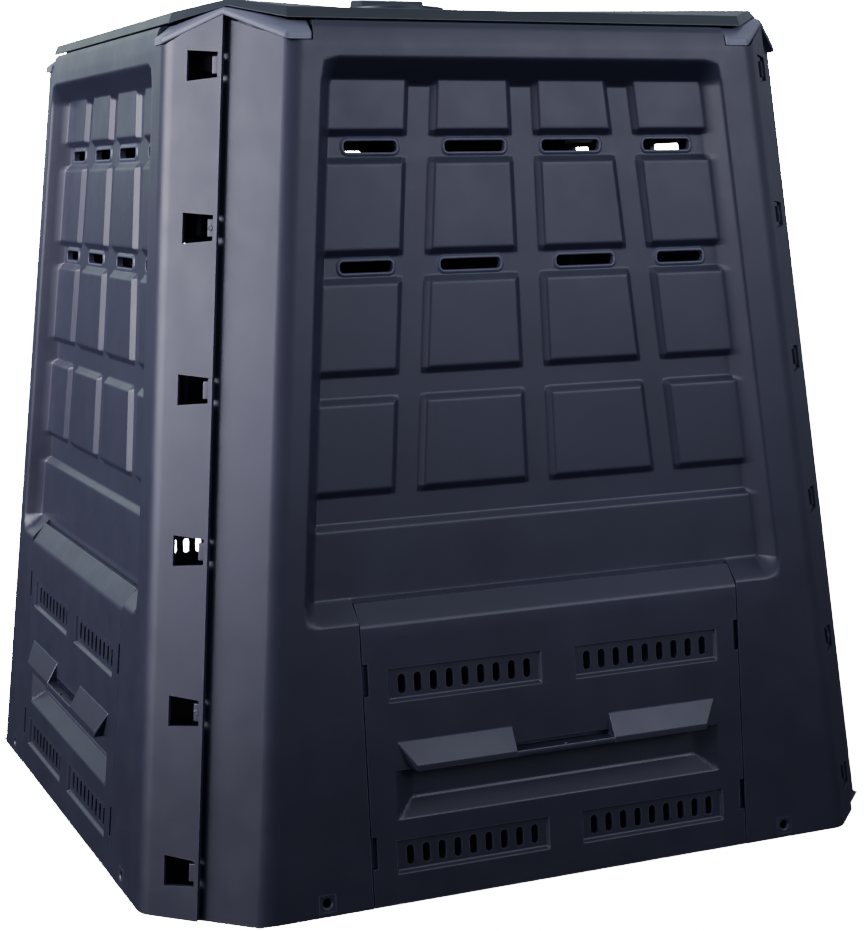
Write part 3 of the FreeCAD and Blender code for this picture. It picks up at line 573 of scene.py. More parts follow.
class WallGrid:
    """The grid of points of the front wall: columns across its plan and rows up its height."""

    def __init__(self):
        self.sizes = bin_sizes()
        self.joint = joint_sizes()
        self.relief = relief_sizes()
        self.hatch = hatch_sizes()
        root2 = math.sqrt(2.0)
        self.plain_cut = self.sizes.corner_cut + self.joint.plain_set_back * root2
        self.window_cut = self.sizes.corner_cut - self.joint.window_stand * root2
        half, self.rim_line = face_columns()
        groove = self.joint.groove_width
        reach = self.joint.tongue_reach
        self.columns = []
        for along in (reach, reach / 2.0, 0.4 * MM - groove, -groove - 0.4 * MM, -groove - 1.6 * MM,
                      -10 * MM, -22 * MM, -34 * MM):
            self.columns.append(("tongue", along))
        for i in range(FOLD_STEPS, -1, -1):
            self.columns.append(("left_fold", i / FOLD_STEPS))
        for column in reversed(half[1:]):
            self.columns.append(("face", lambda z, f=column: -f(z)))
        for column in half:
            self.columns.append(("face", column))
        for i in range(FOLD_STEPS + 1):
            self.columns.append(("right_fold", i / FOLD_STEPS))
        near = self.joint.window_near
        far = near + self.joint.window_width
        window = [-far - 6 * MM, -far - WINDOW_GUARD, -far, -far + 6 * MM, -far + 15 * MM, -near - 5 * MM]
        bar = [-near, -near + WINDOW_GUARD, -WINDOW_GUARD, 0.0]
        self.columns += [("flange", along) for along in window + bar]
        self.rows = [("level", z) for z in wall_rows()]
        seat = self.sizes.seat_height
        start = self.sizes.roll_start
        for share in (0.5, 0.62, 0.74, 0.84, 0.92, 0.98, 1.0):
            angle = math.radians(90.0 * share)
            z = start + (self.sizes.rim_height - start) * math.sin(angle)
            if z > seat:
                self.rows.append(("lip", angle))
        self.rows.append(("shelf", self.sizes.rim_setback + 3.0 * MM))
        self.rows.append(("shelf", self.sizes.shelf_width))

    def height(self, kind, value, z):
        """Height of a row at a column: the top rows of the flanges rise to the gable."""
        seat = self.sizes.seat_height
        start = window_heights()[-1] + self.joint.window_height / 2.0 + WINDOW_GUARD
        if z <= start or kind == "face":
            return z
        half_flange = self.sizes.corner_cut / math.sqrt(2.0)
        if kind == "tongue":
            share = 1.0 + value / half_flange if value < 0.0 else 1.0 - value / half_flange
            peak = self.sizes.gable_rise - self.sizes.plain_drop
        elif kind == "flange":
            share = 1.0 + value / half_flange
            peak = self.sizes.gable_rise
        else:
            flat = self.sizes.fold_radius * math.tan(math.radians(22.5)) / half_flange
            share = flat * max(0.0, 2.0 * value - 1.0)
            peak = self.sizes.gable_rise
        rise = peak * share
        return z + rise * (z - start) / (seat - start)

    def window_bend(self, along, z):
        """Moves a row by a window's tapering edge."""
        joint = self.joint
        inner = -joint.window_near
        outer = inner - joint.window_width
        if along >= inner:
            share = max(0.0, 1.0 - (along - inner) / joint.window_near)
        elif along <= outer:
            share = 0.0
        else:
            share = (along - outer) / joint.window_width
        for middle in window_heights():
            offset = z - middle
            reach = joint.window_height / 2.0
            if abs(abs(offset) - reach) < WINDOW_GUARD + 0.1 * MM:
                return z - math.copysign(joint.window_taper * share, offset)
        return z

    def point(self, layer, r, c):
        """A point of the outer (layer 0) or inner (layer 1) face."""
        thick = self.sizes.wall_thickness * layer
        kind, value = self.columns[c]
        row, place = self.rows[r]
        if row != "level":
            return self.rim_point(layer, row, place, kind, value)
        z = self.height(kind, value, place)
        if kind == "tongue":
            step = self.joint.tongue_step if value > -self.joint.groove_width else 0.0
            return at_corner(-1, value, -self.joint.plain_set_back - step - thick, z)
        if kind == "left_fold":
            return fold_point(-1, self.plain_cut, self.sizes.fold_radius - thick, value, z)
        if kind == "right_fold":
            return fold_point(1, self.window_cut, self.sizes.fold_radius - thick, value, z)
        if kind == "flange":
            z = self.window_bend(value, z)
            return at_corner(1, value, self.joint.window_stand - thick, z)
        u = value(z)
        return on_wall(u, z, wall_depth(u, z) + self.roll_depth(z) + thick)

    def roll_depth(self, z):
        """How far the face has rolled in at height z, on its way to the rim."""
        start = self.sizes.roll_start
        share = max(0.0, min(1.0, (z - start) / (self.sizes.rim_height - start)))
        return self.sizes.rim_setback * (1.0 - math.sqrt(1.0 - share * share))

    def rim_point(self, layer, row, place, kind, value):
        """A point of the rolled lip, whose place is an angle, or of the level shelf behind it."""
        if kind != "face":
            return on_wall(0.0, self.sizes.rim_height, 0.0)
        thick = self.sizes.wall_thickness * layer
        if row == "shelf":
            z = self.sizes.rim_height
            return on_wall(value(z), z - thick, place)
        rise = self.sizes.rim_height - self.sizes.roll_start - thick
        z = self.sizes.roll_start + rise * math.sin(place)
        across = self.sizes.rim_setback - (self.sizes.rim_setback - thick / 2.0) * math.cos(place)
        return on_wall(value(z), z, across + thick / 2.0 * (1.0 - math.sin(place)))

    def cell_kept(self, r, c):
        """True where the wall has material."""
        kind = self.columns[c][0]
        next_kind = self.columns[c + 1][0]
        face = kind == "face" and next_kind == "face"
        if self.rows[r + 1][0] != "level":
            z = self.sizes.seat_height
            end = half_width(z) - self.rim_line + 0.1 * MM
            return face and max(abs(self.columns[c][1](z)), abs(self.columns[c + 1][1](z))) < end
        low = self.rows[r][1]
        high = self.rows[r + 1][1]
        z = (low + high) / 2.0
        if kind == "flange" and next_kind == "flange":
            along = (self.columns[c][1] + self.columns[c + 1][1]) / 2.0
            if -self.joint.window_near - self.joint.window_width < along < -self.joint.window_near:
                return all(abs(z - middle) > self.joint.window_height / 2.0 for middle in window_heights())
            return True
        if not face:
            return True
        u = (self.columns[c][1](z) + self.columns[c + 1][1](z)) / 2.0
        sill = self.relief.bottom + self.relief.sill_rise
        jamb = self.hatch.half_width + self.hatch.side_gap
        return abs(u) > jamb or high > sill + 1e-6


def cut_window(mesh, left, right, low, high):
    """Cuts an upright rectangular hole through the front wall's sheet, to be edged by a moulded ring."""
    reach = 60 * MM

    def is_near(vert):
        x, _, z = vert.co
        return left - reach < x < right + reach and low - reach < z < high + reach

    cuts = [((x, 0, 0), (1, 0, 0)) for x in (left, right)]
    cuts += [((0, 0, z), (0, 0, 1)) for z in (low, high)]
    for place, normal in cuts:
        faces = [face for face in mesh.faces if all(is_near(vert) for vert in face.verts)]
        geometry = set(faces)
        for face in faces:
            geometry.update(face.edges)
            geometry.update(face.verts)
        bmesh.ops.bisect_plane(mesh, geom=list(geometry), plane_co=place, plane_no=normal, dist=1e-7)
    inside = []
    for face in mesh.faces:
        middle = face.calc_center_median()
        if left < middle.x < right and low < middle.z < high:
            inside.append(face)
    bmesh.ops.delete(mesh, geom=inside, context="FACES")


def moulded_ring(loops):
    """A closed ring from loops of points, each joined to the next and the last to the first."""
    ring = bmesh.new()
    verts = [[ring.verts.new(point) for point in loop] for loop in loops]
    count = len(verts[0])
    for a in range(len(verts)):
        b = (a + 1) % len(verts)
        for i in range(count):
            j = (i + 1) % count
            ring.faces.new([verts[a][i], verts[a][j], verts[b][j], verts[b][i]])
    return ring


def round_outline(half_long, half_high, radius, out, steps=6):
    """Points round an oblong with rounded corners, let out by some distance."""
    points = []
    for quarter in range(4):
        sx = 1 if quarter in (0, 3) else -1
        sy = 1 if quarter in (0, 1) else -1
        for i in range(steps + 1):
            angle = math.radians(90.0 * (quarter + i / steps))
            points.append((
                sx * (half_long - radius) + (radius + out) * math.cos(angle),
                sy * (half_high - radius) + (radius + out) * math.sin(angle)))
    return points


def slot_bead(left, right, z):
    """The rounded bead round a vent slot, with the slot's own sides, as a closed ring."""
    relief = relief_sizes()
    rear = relief.depth + bin_sizes().wall_thickness
    stand = relief.slot_bead_stand
    width = relief.slot_bead
    floor = relief.depth
    section = [
        (0.0, rear + 0.3 * MM), (0.0, floor - 0.55 * stand), (0.05 * width, floor - 0.85 * stand),
        (0.14 * width, floor - stand), (0.34 * width, floor - stand), (0.52 * width, floor - 0.84 * stand),
        (0.70 * width, floor - 0.50 * stand), (0.86 * width, floor - 0.18 * stand), (1.0 * width, floor),
        (1.08 * width, floor + 0.4 * MM), (width, rear - 0.3 * MM), (0.3 * width, rear + 0.3 * MM)]
    middle = (right + left) / 2.0
    loops = []
    for out, depth in section:
        outline = round_outline((right - left) / 2.0, relief.slot_height / 2.0, 3.6 * MM, out)
        loops.append([on_wall(middle + a, z + b, depth) for a, b in outline])
    ring = moulded_ring(loops)
    for face in ring.faces:
        # The bead and the slot's sides take the paler bead colour, a painted highlight.
        face.material_index = 1
    return ring


def peg_hole(u, z):
    """A round hole with a sunk rim, in a square patch of the wall's face."""
    relief = relief_sizes()
    radius = relief.peg_hole / 2.0
    thick = bin_sizes().wall_thickness
    steps = 24
    angles = [math.radians(360.0 * i / steps) for i in range(steps)]
    loops = []
    for reach, depth, square in (
            (2.0 * radius, 0.0, True), (radius + relief.peg_rim, 0.0, False),
            (radius + 0.7 * relief.peg_rim, 0.25 * MM, False), (radius + 0.2 * MM, 1.1 * MM, False),
            (radius, 1.5 * MM, False), (radius, thick, False), (2.0 * radius, thick, True)):
        loop = []
        for angle in angles:
            a = math.cos(angle)
            b = math.sin(angle)
            scale = reach / max(abs(a), abs(b)) if square else reach
            loop.append(on_wall(u + a * scale, z + b * scale, depth))
        loops.append(loop)
    return moulded_ring(loops)


def add_hooks(mesh):
    """The hooks on the tongue, which stand in the neighbour's windows; some have an eye."""
    joint = joint_sizes()
    thick = bin_sizes().wall_thickness
    near = joint.window_near + 0.5 * MM
    far = near + joint.hook_width
    front = -joint.plain_set_back
    place = lambda along, outward, height: at_corner(-1, along, outward, height)
    for i, z in enumerate(window_heights()):
        low = z - joint.hook_height / 2.0
        high = z + joint.hook_height / 2.0
        root = joint.tongue_reach - 0.2 * MM
        add_block(mesh, (root, front - thick, low), (far, front - 1.4 * MM, high), place, 0.3 * MM)
        face = front + joint.hook_stand - SUNK
        add_block(mesh, (near, front - SUNK, low), (far, face, high), place, 0.8 * MM)
        if i % 3 == 1:
            eye = joint.hook_eye / 2.0
            centre = (near + far) / 2.0
            loops = []
            for radius, stand in ((eye, -2 * MM), (eye, 0.4 * MM), (eye + 0.3 * MM, 0.7 * MM),
                                  (eye + 0.9 * MM, 0.6 * MM), (eye + 1.2 * MM, -0.2 * MM)):
                outline = round_outline(radius, radius, radius, 0.0, 4)
                loops.append([at_corner(-1, centre + a, face + stand, z + b) for a, b in outline])
            add_part(mesh, moulded_ring(loops))


def add_guides(mesh):
    """Channels behind the wall in which the hatch's lugs slide."""
    hatch = hatch_sizes()
    thick = bin_sizes().wall_thickness
    rear = thick + 6 * MM
    web = hatch.half_width + hatch.lug_reach + 2 * MM
    low = 5 * MM
    high = hatch.bend - 2 * MM
    inner = hatch.half_width + hatch.side_gap + 1 * MM
    wall = 3 * MM
    seat = hatch.lower_lug - 0.3 * MM
    radius = 0.6 * MM
    for side in (-1, 1):
        place = wall_place(side)
        add_block(mesh, (web, thick - SUNK, low), (web + wall, rear + wall, high), place, radius)
        add_block(mesh, (inner, rear, low), (web + wall, rear + wall, high), place, radius)
        add_block(mesh, (inner, thick - SUNK, seat - wall), (web + wall, rear + wall, seat), place, radius)


def add_lintel(mesh):
    """The strip of the wall that reaches down behind the hatch's upper edge."""
    relief = relief_sizes()
    hatch = hatch_sizes()
    half = hatch.half_width + hatch.side_gap
    front = relief.land_depth + 0.1 * MM
    low = hatch.top - 7 * MM
    high = relief.bottom + relief.sill_rise + 2 * MM
    add_block(mesh, (-half, front, low), (half, front + 3.4 * MM, high), wall_place(), 0.3 * MM)


def wall_mesh():
    """The front wall as one mesh."""
    relief = relief_sizes()
    grid = WallGrid()
    rows = range(len(grid.rows))
    columns = range(len(grid.columns))
    outer = [[grid.point(0, r, c) for c in columns] for r in rows]
    inner = [[grid.point(1, r, c) for c in columns] for r in rows]
    mesh = sheet_mesh(outer, inner, grid.cell_kept)
    round_edges(mesh, bin_sizes().edge_radius, 62.0)
    bmesh.ops.recalc_face_normals(mesh, faces=mesh.faces[:])
    rings = []
    reach = relief.slot_height / 2.0 + 2 * MM
    for z in slot_heights():
        for left, right in slot_spans(z):
            cut_window(mesh, left - 2 * MM, right + 2 * MM, z - reach, z + reach)
            rings.append(slot_bead(left, right, z))
    for side in (-1, 1):
        u = side * relief.peg_place
        z = relief.peg_height
        cut_window(mesh, u - relief.peg_hole, u + relief.peg_hole, z - relief.peg_hole, z + relief.peg_hole)
        rings.append(peg_hole(u, z))
    for ring in rings:
        add_part(mesh, ring)
    add_hooks(mesh)
    add_guides(mesh)
    add_lintel(mesh)
    return mesh


# Hatches

def rounded_slot(du, reach, width):
    """Height of a slot's rounded end at a distance du from its middle."""
    radius = width / 2.0
    if abs(du) >= radius:
        return reach - radius
    return reach - radius + math.sqrt(radius * radius - du * du)


def hatch_slot_centres():
    """Distances from the hatch's middle to the slots of its grilles."""
    hatch = hatch_sizes()
    return [hatch.slot_first + i * hatch.slot_pitch for i in range(hatch.slot_count)]


def pocket_share(u, z):
    """How deep the grip pocket is, from 0 to 1."""
    hatch = hatch_sizes()
    floor = (z - hatch.pocket_floor) / hatch.pocket_slope
    end = (hatch.pocket_half - abs(u)) / hatch.pocket_draft
    ceiling = (hatch.hood_under + 0.6 * MM - z) / (1.2 * MM)
    return soft_step(min(floor, end), 0.05) * min(1.0, max(0.0, ceiling))


def pocket_bead(u, z):
    """Height of the fine bead along the bend between the pocket's floor and its back."""
    hatch = hatch_sizes()
    away = abs(z - hatch.pocket_floor - hatch.pocket_slope) / (1.4 * MM)
    along = (hatch.pocket_half - hatch.pocket_draft - 1 * MM - abs(u)) / (2 * MM)
    if away >= 1.0 or along <= 0.0:
        return 0.0
    return hatch.pocket_bead * math.sqrt(1.0 - away * away) * min(1.0, along)


def gap_share(u, z):
    """How deep the slot over the finger bar is, from 0 to 1."""
    hatch = hatch_sizes()
    side = (hatch.gap_half - abs(u)) / (1.0 * MM)
    floor = (z - hatch.hood_lip + 0.6 * MM) / (0.6 * MM)
    top = (hatch.hood_lip + hatch.gap_height - z) / (0.9 * MM)
    return max(0.0, min(soft_step(side, 0.2), soft_step(floor, 0.2), soft_step(top, 0.3)))


def grille_share(u, z):
    """How deep a grille's recess is, from 0 to 1: steep at its top and sloping at its foot."""
    hatch = hatch_sizes()
    middle = min((hatch.lower_grille, hatch.upper_grille), key=lambda level: abs(z - level))
    top = (middle + hatch.grille_half_height - z) / (0.7 * MM)
    foot = (z - middle + hatch.grille_half_height) / (2.2 * MM)
    end = min(abs(u) - hatch.grille_start, hatch.grille_end - abs(u)) / (1.3 * MM)
    return soft_step(min(top, foot, end), 0.3)


def hatch_depth(u, z):
    """Depth of the hatch's outer face behind the wall's leaning plane."""
    hatch = hatch_sizes()
    bend = (z - hatch.bend) / (hatch.top - hatch.bend)
    depth = hatch.top_depth * soft_step(bend, 0.12) if bend < 0.8 else hatch.top_depth * bend
    depth += hatch.pocket_depth * pocket_share(u, z) - pocket_bead(u, z)
    depth += hatch.gap_depth * gap_share(u, z)
    depth += hatch.grille_recess * grille_share(u, z)
    return depth


def hatch_rows():
    """Heights of the hatch's rows of points, close together where its relief turns."""
    hatch = hatch_sizes()
    reach = hatch.slot_height / 2.0
    straight = reach - hatch.slot_width / 2.0
    marks = [hatch.foot, hatch.foot + 2 * MM, hatch.top, hatch.top - 2 * MM]
    marks += [hatch.bend + k * MM for k in (-2.2, 0.0, 2.2)]
    for middle in (hatch.lower_grille, hatch.upper_grille):
        for side in (-1, 1):
            for k in (0.0, straight - 1 * MM, reach, reach + 1.3 * MM):
                marks.append(middle + side * k)
        top = middle + hatch.grille_half_height
        marks += [top + k * MM for k in (0.4, 0.15, -0.1, -0.35, -0.6, -0.9, -1.4, -2.6)]
        foot = middle - hatch.grille_half_height
        marks += [foot + k * MM for k in (-0.8, -0.3, 0.3, 0.9, 1.5, 2.1, 2.9, 4.0)]
    for k in (-0.08, -0.03, 0.03, 0.08, 0.3, 0.5, 0.7):
        marks.append(hatch.pocket_floor + k * hatch.pocket_slope)
    bend = hatch.pocket_floor + hatch.pocket_slope
    marks += [bend + k * MM for k in (-2.6, -1.4, -1.1, -0.6, 0.0, 0.6, 1.1, 1.4, 2.6)]
    under = hatch.hood_under
    marks += [under - 2 * MM, under - 0.6 * MM, under, under + 0.6 * MM]
    lip = hatch.hood_lip
    marks += [lip + k * MM for k in (-0.75, -0.6, -0.3, 0.0, 0.3)]
    top = lip + hatch.gap_height
    marks += [top + k * MM for k in (-1.2, -0.9, -0.6, -0.3, 0.0, 0.3, 1.2)]
    marks.append(hatch.hood_top)
    for lug in (hatch.lower_lug, hatch.upper_lug):
        marks += [lug, lug + hatch.lug_height]
    return tidy_lines(marks, 0.25 * MM, 14 * MM)


def hatch_columns():
    """Places of the hatch's columns of points across its width."""
    hatch = hatch_sizes()
    radius = hatch.slot_width / 2.0
    marks = [0.0]
    for centre in hatch_slot_centres():
        marks += [centre + k * radius for k in (-1.34, -1.0, -0.85, -0.5, 0.0, 0.5, 0.85, 1.0, 1.34)]
    step = 1.4 * MM
    for k in (-0.4 * step, 0.4 * step, step, 2.0 * step):
        marks += [hatch.grille_start + k, hatch.grille_end - k]
    marks += [hatch.gap_half + k * MM for k in (-1.2, -0.2, 0.15, 0.8, 1.4, 2.2)]
    marks += [hatch.half_width, hatch.half_width - 2 * MM, hatch.half_width - hatch.notch,
              hatch.half_width - hatch.notch - 2 * MM]
    for k in (-0.08, 0.08, 0.5, 0.92, 1.08):
        marks.append(hatch.pocket_half - k * hatch.pocket_draft)
    half = tidy_lines(marks, 0.5 * MM, 9 * MM)
    return [-u for u in reversed(half[1:])] + half


def hatch_mesh():
    """The front hatch as one mesh."""
    hatch = hatch_sizes()
    rows = hatch_rows()
    columns = hatch_columns()
    reach = hatch.slot_height / 2.0
    radius = hatch.slot_width / 2.0
    centres = hatch_slot_centres()
    grilles = (hatch.lower_grille, hatch.upper_grille)

    def bent(u, z):
        """Draws the row at a slot's end round its rounded end."""
        for middle in grilles:
            if abs(abs(z - middle) - reach) < 0.02 * MM:
                for centre in centres:
                    du = abs(u) - centre
                    if abs(du) <= radius + 1e-7:
                        return middle + math.copysign(rounded_slot(du, reach, hatch.slot_width), z - middle)
        return z

    def keep(r, c):
        u = abs(columns[c] + columns[c + 1]) / 2.0
        z = (rows[r] + rows[r + 1]) / 2.0
        for middle in grilles:
            if abs(z - middle) < reach:
                if any(abs(u - centre) < radius for centre in centres):
                    return False
        for lug in (hatch.lower_lug, hatch.upper_lug):
            if u > hatch.half_width - hatch.notch and lug < z < lug + hatch.lug_height:
                return False
        return True

    outer = []
    inner = []
    for z in rows:
        line = [(u, bent(u, z)) for u in columns]
        outer.append([on_wall(u, v, hatch_depth(u, v)) for u, v in line])
        inner.append([on_wall(u, v, hatch_depth(u, v) + hatch.thickness) for u, v in line])
    mesh = sheet_mesh(outer, inner, keep)
    round_edges(mesh, 0.7 * MM, 70.0)
    bmesh.ops.recalc_face_normals(mesh, faces=mesh.faces[:])
    add_hatch_rims(mesh)
    add_hoods(mesh)
    return mesh


def add_hoods(mesh):
    """The two wedges under which the fingers go, and the bar between them with its nub."""
    hatch = hatch_sizes()
    stand = -hatch.hood_stand
    root = hatch.thickness / 2.0
    for side in (-1, 1):
        near = side * hatch.gap_half
        low = side * hatch.hood_half_low
        high = side * hatch.hood_half_high
        part = bmesh.new()
        for u, depth, z in (
                (near, root, hatch.hood_under), (low, root, hatch.hood_under),
                (near, stand, hatch.hood_under), (low, stand, hatch.hood_under),
                (near, stand, hatch.hood_lip), (low, stand, hatch.hood_lip),
                (near, 0.0, hatch.hood_top), (high, 0.0, hatch.hood_top),
                (near, root, hatch.hood_top), (high, root, hatch.hood_top)):
            part.verts.new(on_wall(u, z, depth))
        bmesh.ops.convex_hull(part, input=part.verts[:])
        bmesh.ops.dissolve_limit(
            part, angle_limit=math.radians(2.0), verts=part.verts[:], edges=part.edges[:])
        edges = [edge for edge in part.edges if edge.calc_face_angle(0.0) > math.radians(15.0)]
        bmesh.ops.bevel(
            part, geom=edges, offset=hatch.hood_round, segments=3, profile=0.5, affect="EDGES",
            clamp_overlap=True)
        add_part(mesh, part)
    place = wall_place()
    half = hatch.gap_half + 3 * MM
    low = hatch.hood_under + 0.2 * MM
    high = hatch.hood_lip - 0.2 * MM
    add_block(mesh, (-half, stand + 0.25 * MM, low), (half, root, high), place, hatch.hood_round)
    half = 1.6 * MM
    low = hatch.hood_lip - 2 * MM
    high = hatch.hood_lip + 1.2 * MM
    add_block(mesh, (-half, stand + 0.8 * MM, low), (half, stand + 4 * MM, high), place, 1.1 * MM)


def add_hatch_rims(mesh):
    """The rim behind the hatch's sides and foot, and its four lugs."""
    hatch = hatch_sizes()
    half = hatch.half_width
    thick = hatch.thickness
    deep = hatch.rim_depth
    start = thick - SUNK
    front = bin_sizes().wall_thickness + 1 * MM
    outer = half - hatch.notch
    inner = outer - thick
    radius = 0.5 * MM
    for side in (-1, 1):
        place = wall_place(side)
        add_block(mesh, (inner, start, hatch.foot), (outer, deep, hatch.bend - thick), place, radius)
        for lug in (hatch.lower_lug, hatch.upper_lug):
            tip = (half + hatch.lug_reach, front + 4 * MM, lug + hatch.lug_height)
            add_block(mesh, (inner, front, lug), tip, place, 0.7 * MM)
    add_block(mesh, (-outer, start, hatch.foot), (outer, deep, hatch.foot + thick), wall_place(), radius)


# Caps, lid, dial and hinges, which keep the frame's form and get rounded edges

def rounded_copy(node, material, radius, angle=24.0, segments=3):
    """A piece with the form of a node of the frame and rounded edges."""
    mesh = bmesh.new()
    mesh.from_mesh(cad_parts[node].data)
    bmesh.ops.remove_doubles(mesh, verts=mesh.verts, dist=1e-5)
    piece = new_piece(node + "_piece", mesh, material)
    mesh.free()
    rounding = piece.modifiers.new("Rounded edges", "BEVEL")
    rounding.width = radius
    rounding.segments = segments
    rounding.limit_method = "ANGLE"
    rounding.angle_limit = math.radians(angle)
    rounding.use_clamp_overlap = False
    piece.modifiers.move(1, 0)
    return piece


# Materials

def plastic(name, base, roughness=0.39, grain=0.16, gloss=0.5):
    """Moulded plastic with mottling, scuffs, a fine grain, edges made paler as wear and as a painted
    highlight, and painted shade that darkens it towards the ground.
    """
    material = bpy.data.materials.new(name)
    material.use_nodes = True
    nodes = material.node_tree.nodes
    links = material.node_tree.links
    shader = nodes["Principled BSDF"]
    shader.inputs["Specular IOR Level"].default_value = gloss
    place = nodes.new("ShaderNodeTexCoord").outputs["Object"]
    mottle = noise(nodes, links, place, scale=7.0, detail=6.0, roughness=0.62)
    ramp = nodes.new("ShaderNodeValToRGB")
    ramp.color_ramp.elements[0].position = 0.30
    ramp.color_ramp.elements[1].position = 0.72
    ramp.color_ramp.elements[0].color = toned(base, 0.84)
    ramp.color_ramp.elements[1].color = toned(base, 1.16)
    links.new(mottle, ramp.inputs["Fac"])
    # Painted shade: the colour is multiplied down to half at the ground and fades out by half a metre up.
    split = nodes.new("ShaderNodeSeparateXYZ")
    links.new(place, split.inputs["Vector"])
    foot_shade = ranged(nodes, links, split.outputs["Z"], (0.0, 0.50), (0.50, 1.0))
    foot_shade_mix = nodes.new("ShaderNodeMix")
    foot_shade_mix.data_type = "RGBA"
    foot_shade_mix.blend_type = "MULTIPLY"
    foot_shade_mix.inputs["Factor"].default_value = 1.0
    links.new(ramp.outputs["Color"], foot_shade_mix.inputs["A"])
    links.new(foot_shade, foot_shade_mix.inputs["B"])
    # Edges are made paler partly as wear and partly as a painted highlight on their rounding.
    worn_and_highlit = edge_wear_and_highlight(nodes, links, place)
    pale = nodes.new("ShaderNodeMix")
    pale.data_type = "RGBA"
    pale.inputs["B"].default_value = toned(base, 2.6, 0.01)
    links.new(worn_and_highlit, pale.inputs["Factor"])
    links.new(foot_shade_mix.outputs["Result"], pale.inputs["A"])
    links.new(pale.outputs["Result"], shader.inputs["Base Color"])
    cloud = noise(nodes, links, place, scale=26.0, detail=5.0, roughness=0.6)
    gloss_range = ranged(nodes, links, cloud, (0.25, 0.75), (roughness - 0.03, roughness + 0.04))
    polished = nodes.new("ShaderNodeMath")
    polished.operation = "MULTIPLY_ADD"
    polished.inputs[1].default_value = -0.10
    links.new(worn_and_highlit, polished.inputs[0])
    links.new(gloss_range, polished.inputs[2])
    links.new(polished.outputs["Value"], shader.inputs["Roughness"])
    fine = noise(nodes, links, place, scale=1100.0, detail=2.0, roughness=0.5)
    waves = noise(nodes, links, place, scale=16.0, detail=2.0, roughness=0.5)
    swell = nodes.new("ShaderNodeBump")
    swell.inputs["Strength"].default_value = 0.035
    swell.inputs["Distance"].default_value = 3.0 * MM
    links.new(waves, swell.inputs["Height"])
    bump = nodes.new("ShaderNodeBump")
    bump.inputs["Strength"].default_value = grain
    bump.inputs["Distance"].default_value = 0.3 * MM
    links.new(fine, bump.inputs["Height"])
    links.new(swell.outputs["Normal"], bump.inputs["Normal"])
    links.new(bump.outputs["Normal"], shader.inputs["Normal"])
    return material


def toned(base, factor, lift=0.0):
    """A colour made darker or paler."""
    return (*[min(1.0, factor * part + lift) for part in base], 1.0)


def noise(nodes, links, place, scale, detail, roughness):
    """A noise texture over the piece's own coordinates."""
    texture = nodes.new("ShaderNodeTexNoise")
    texture.inputs["Scale"].default_value = scale
    texture.inputs["Detail"].default_value = detail
    texture.inputs["Roughness"].default_value = roughness
    links.new(place, texture.inputs["Vector"])
    return texture.outputs["Fac"]


def ranged(nodes, links, value, start, end):
    """Maps a value smoothly from one range to another."""
    change = nodes.new("ShaderNodeMapRange")
    change.interpolation_type = "SMOOTHSTEP"
    change.inputs["From Min"].default_value = start[0]
    change.inputs["From Max"].default_value = start[1]
    change.inputs["To Min"].default_value = end[0]
    change.inputs["To Max"].default_value = end[1]
    links.new(value, change.inputs["Value"])
    return change.outputs["Result"]


def edge_wear_and_highlight(nodes, links, place):
    """1 on the moulding's edges, broken up by noise, and 0 on its flat faces; it marks edges that are paled
    as wear and as a painted highlight.
    """
    bevel = nodes.new("ShaderNodeBevel")
    bevel.samples = 4
    bevel.inputs["Radius"].default_value = PALE_EDGE_WIDTH
    surface = nodes.new("ShaderNodeNewGeometry")
    turn = nodes.new("ShaderNodeVectorMath")
    turn.operation = "DOT_PRODUCT"
    links.new(bevel.outputs["Normal"], turn.inputs[0])
    links.new(surface.outputs["Normal"], turn.inputs[1])
    edge = ranged(nodes, links, turn.outputs["Value"], (0.995, 0.90), (0.0, 0.75))
    patches = noise(nodes, links, place, scale=60.0, detail=4.0, roughness=0.6)
    patches = ranged(nodes, links, patches, (0.30, 0.62), (0.35, 1.0))
    worn_and_highlit = nodes.new("ShaderNodeMath")
    worn_and_highlit.operation = "MULTIPLY"
    links.new(edge, worn_and_highlit.inputs[0])
    links.new(patches, worn_and_highlit.inputs[1])
    return worn_and_highlit.outputs["Value"]


# Operators

def settle(piece, body, slot, *nodes):
    """Puts a finished piece on its body and in the place of the nodes it stands for; slot is not used."""
    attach(piece, body)
    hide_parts(*nodes)


class BIN_OT_walls(Operator):
    """Builds the four moulded wall panels"""

    bl_idname = "bin.walls"
    bl_label = "Walls"

    def execute(self, context):
        mesh = wall_mesh()
        colours = context.scene.bin_colours
        material = plastic("wall_moulding", colours.wall)
        # The bead material is the wall plastic made paler as a painted highlight.
        highlit_bead = plastic("highlit_bead_moulding", colours.highlit_bead, roughness=0.36)
        for turn, side in enumerate(SIDES):
            piece = new_piece(f"wall_{side}_piece", mesh, material, turn)
            piece.data.materials.append(highlit_bead)
            settle(piece, "bin", "wall_plastic", f"wall_{side}")
        mesh.free()
        return {"FINISHED"}


class BIN_OT_hatches(Operator):
    """Builds the four sliding hatches"""

    bl_idname = "bin.hatches"
    bl_label = "Hatches"

    def execute(self, context):
        mesh = hatch_mesh()
        material = plastic("hatch_moulding", context.scene.bin_colours.hatch)
        for turn, side in enumerate(SIDES):
            piece = new_piece(f"hatch_{side}_piece", mesh, material, turn)
            settle(piece, f"hatch_{side}", "hatch_plastic", f"hatch_{side}")
        mesh.free()
        return {"FINISHED"}


